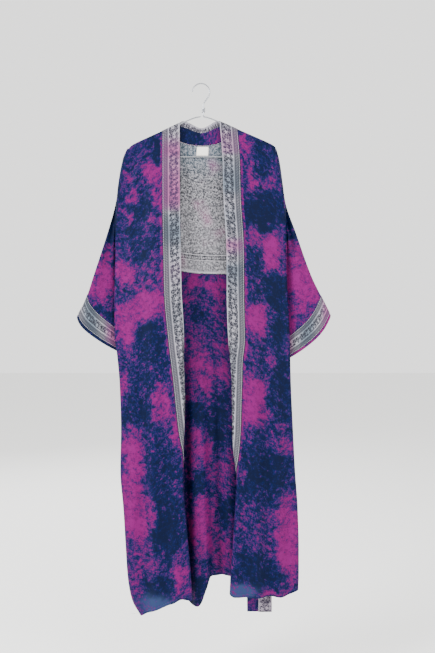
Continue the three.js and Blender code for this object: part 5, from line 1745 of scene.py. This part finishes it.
class RobePanels(BuildStep, bpy.types.Operator):
    """Cut and hang the back with its belt loops, and the two fronts"""

    bl_idname = "robe.panels"
    bl_label = "Back and fronts"
    steps = ((build_back,), (build_front, RIGHT), (build_front, LEFT))


class RobeBands(BuildStep, bpy.types.Operator):
    """Sew the woven border down both fronts and round the neck"""

    bl_idname = "robe.bands"
    bl_label = "Front and neck bands"
    steps = ((build_band, RIGHT), (build_band, LEFT), (build_neck,))


class RobeSleeves(BuildStep, bpy.types.Operator):
    """Make the two sleeves"""

    bl_idname = "robe.sleeves"
    bl_label = "Sleeves"
    steps = ((build_sleeve, True), (build_sleeve, False))


class RobeCuffs(BuildStep, bpy.types.Operator):
    """Lay the woven border round each sleeve end"""

    bl_idname = "robe.cuffs"
    bl_label = "Cuff bands"
    steps = ((build_cuff, True), (build_cuff, False))


class RobeLining(BuildStep, bpy.types.Operator):
    """Line the upper back and sew in the bare label"""

    bl_idname = "robe.lining"
    bl_label = "Lining and label"
    steps = ((build_lining,), (build_label,))


class RobeBelt(BuildStep, bpy.types.Operator):
    """Hang the belt through one of its loops"""

    bl_idname = "robe.belt"
    bl_label = "Belt"
    steps = ((build_belt,),)


class RobeHanger(BuildStep, bpy.types.Operator):
    """Bend the wire hanger and wind its short end"""

    bl_idname = "robe.hanger"
    bl_label = "Hanger"
    steps = ((build_hanger,),)


class RobeStitches(BuildStep, bpy.types.Operator):
    """Sew the rows of stitches that show"""

    bl_idname = "robe.stitches"
    bl_label = "Stitches"
    steps = ((build_stitches,),)


class RobeStudio(BuildStep, bpy.types.Operator):
    """Set up the floor, the light and the camera"""

    bl_idname = "robe.studio"
    bl_label = "Stage"
    steps = ((build_stage,),)


class RobeSidebar(bpy.types.Panel):
    """Lists the robe's pieces and settings"""

    bl_idname = "VIEW3D_PT_robe"
    bl_label = "Kimono robe"
    bl_space_type = "VIEW_3D"
    bl_region_type = "UI"
    bl_category = "Robe"

    def draw(self, context):
        layout = self.layout
        for name in SETTINGS:
            group = getattr(context.scene, name)
            box = layout.box()
            for key in group.__annotations__:
                box.prop(group, key)
        for operator in OPERATORS:
            layout.operator(operator.bl_idname)


SETTINGS = {
    "robe_cloth": RobeCloth, "robe_dyes": RobeDyes, "robe_border": RobeBorder, "robe_stage": RobeStage,
}
OPERATORS = (
    RobePanels, RobeBands, RobeSleeves, RobeCuffs, RobeLining, RobeBelt, RobeHanger, RobeStitches,
    RobeStudio,
)


def register():
    for cls in (*SETTINGS.values(), *OPERATORS, RobeSidebar):
        bpy.utils.register_class(cls)
    for name, group in SETTINGS.items():
        setattr(bpy.types.Scene, name, bpy.props.PointerProperty(type=group))


def unregister():
    for name in SETTINGS:
        delattr(bpy.types.Scene, name)
    for cls in (RobeSidebar, *reversed(OPERATORS), *reversed(list(SETTINGS.values()))):
        bpy.utils.unregister_class(cls)


def main():
    register()
    bpy.ops.robe.panels()
    bpy.ops.robe.bands()
    bpy.ops.robe.sleeves()
    bpy.ops.robe.cuffs()
    bpy.ops.robe.lining()
    bpy.ops.robe.belt()
    bpy.ops.robe.hanger()
    bpy.ops.robe.stitches()
    bpy.ops.robe.studio()


if __name__ == "__main__":
    main()
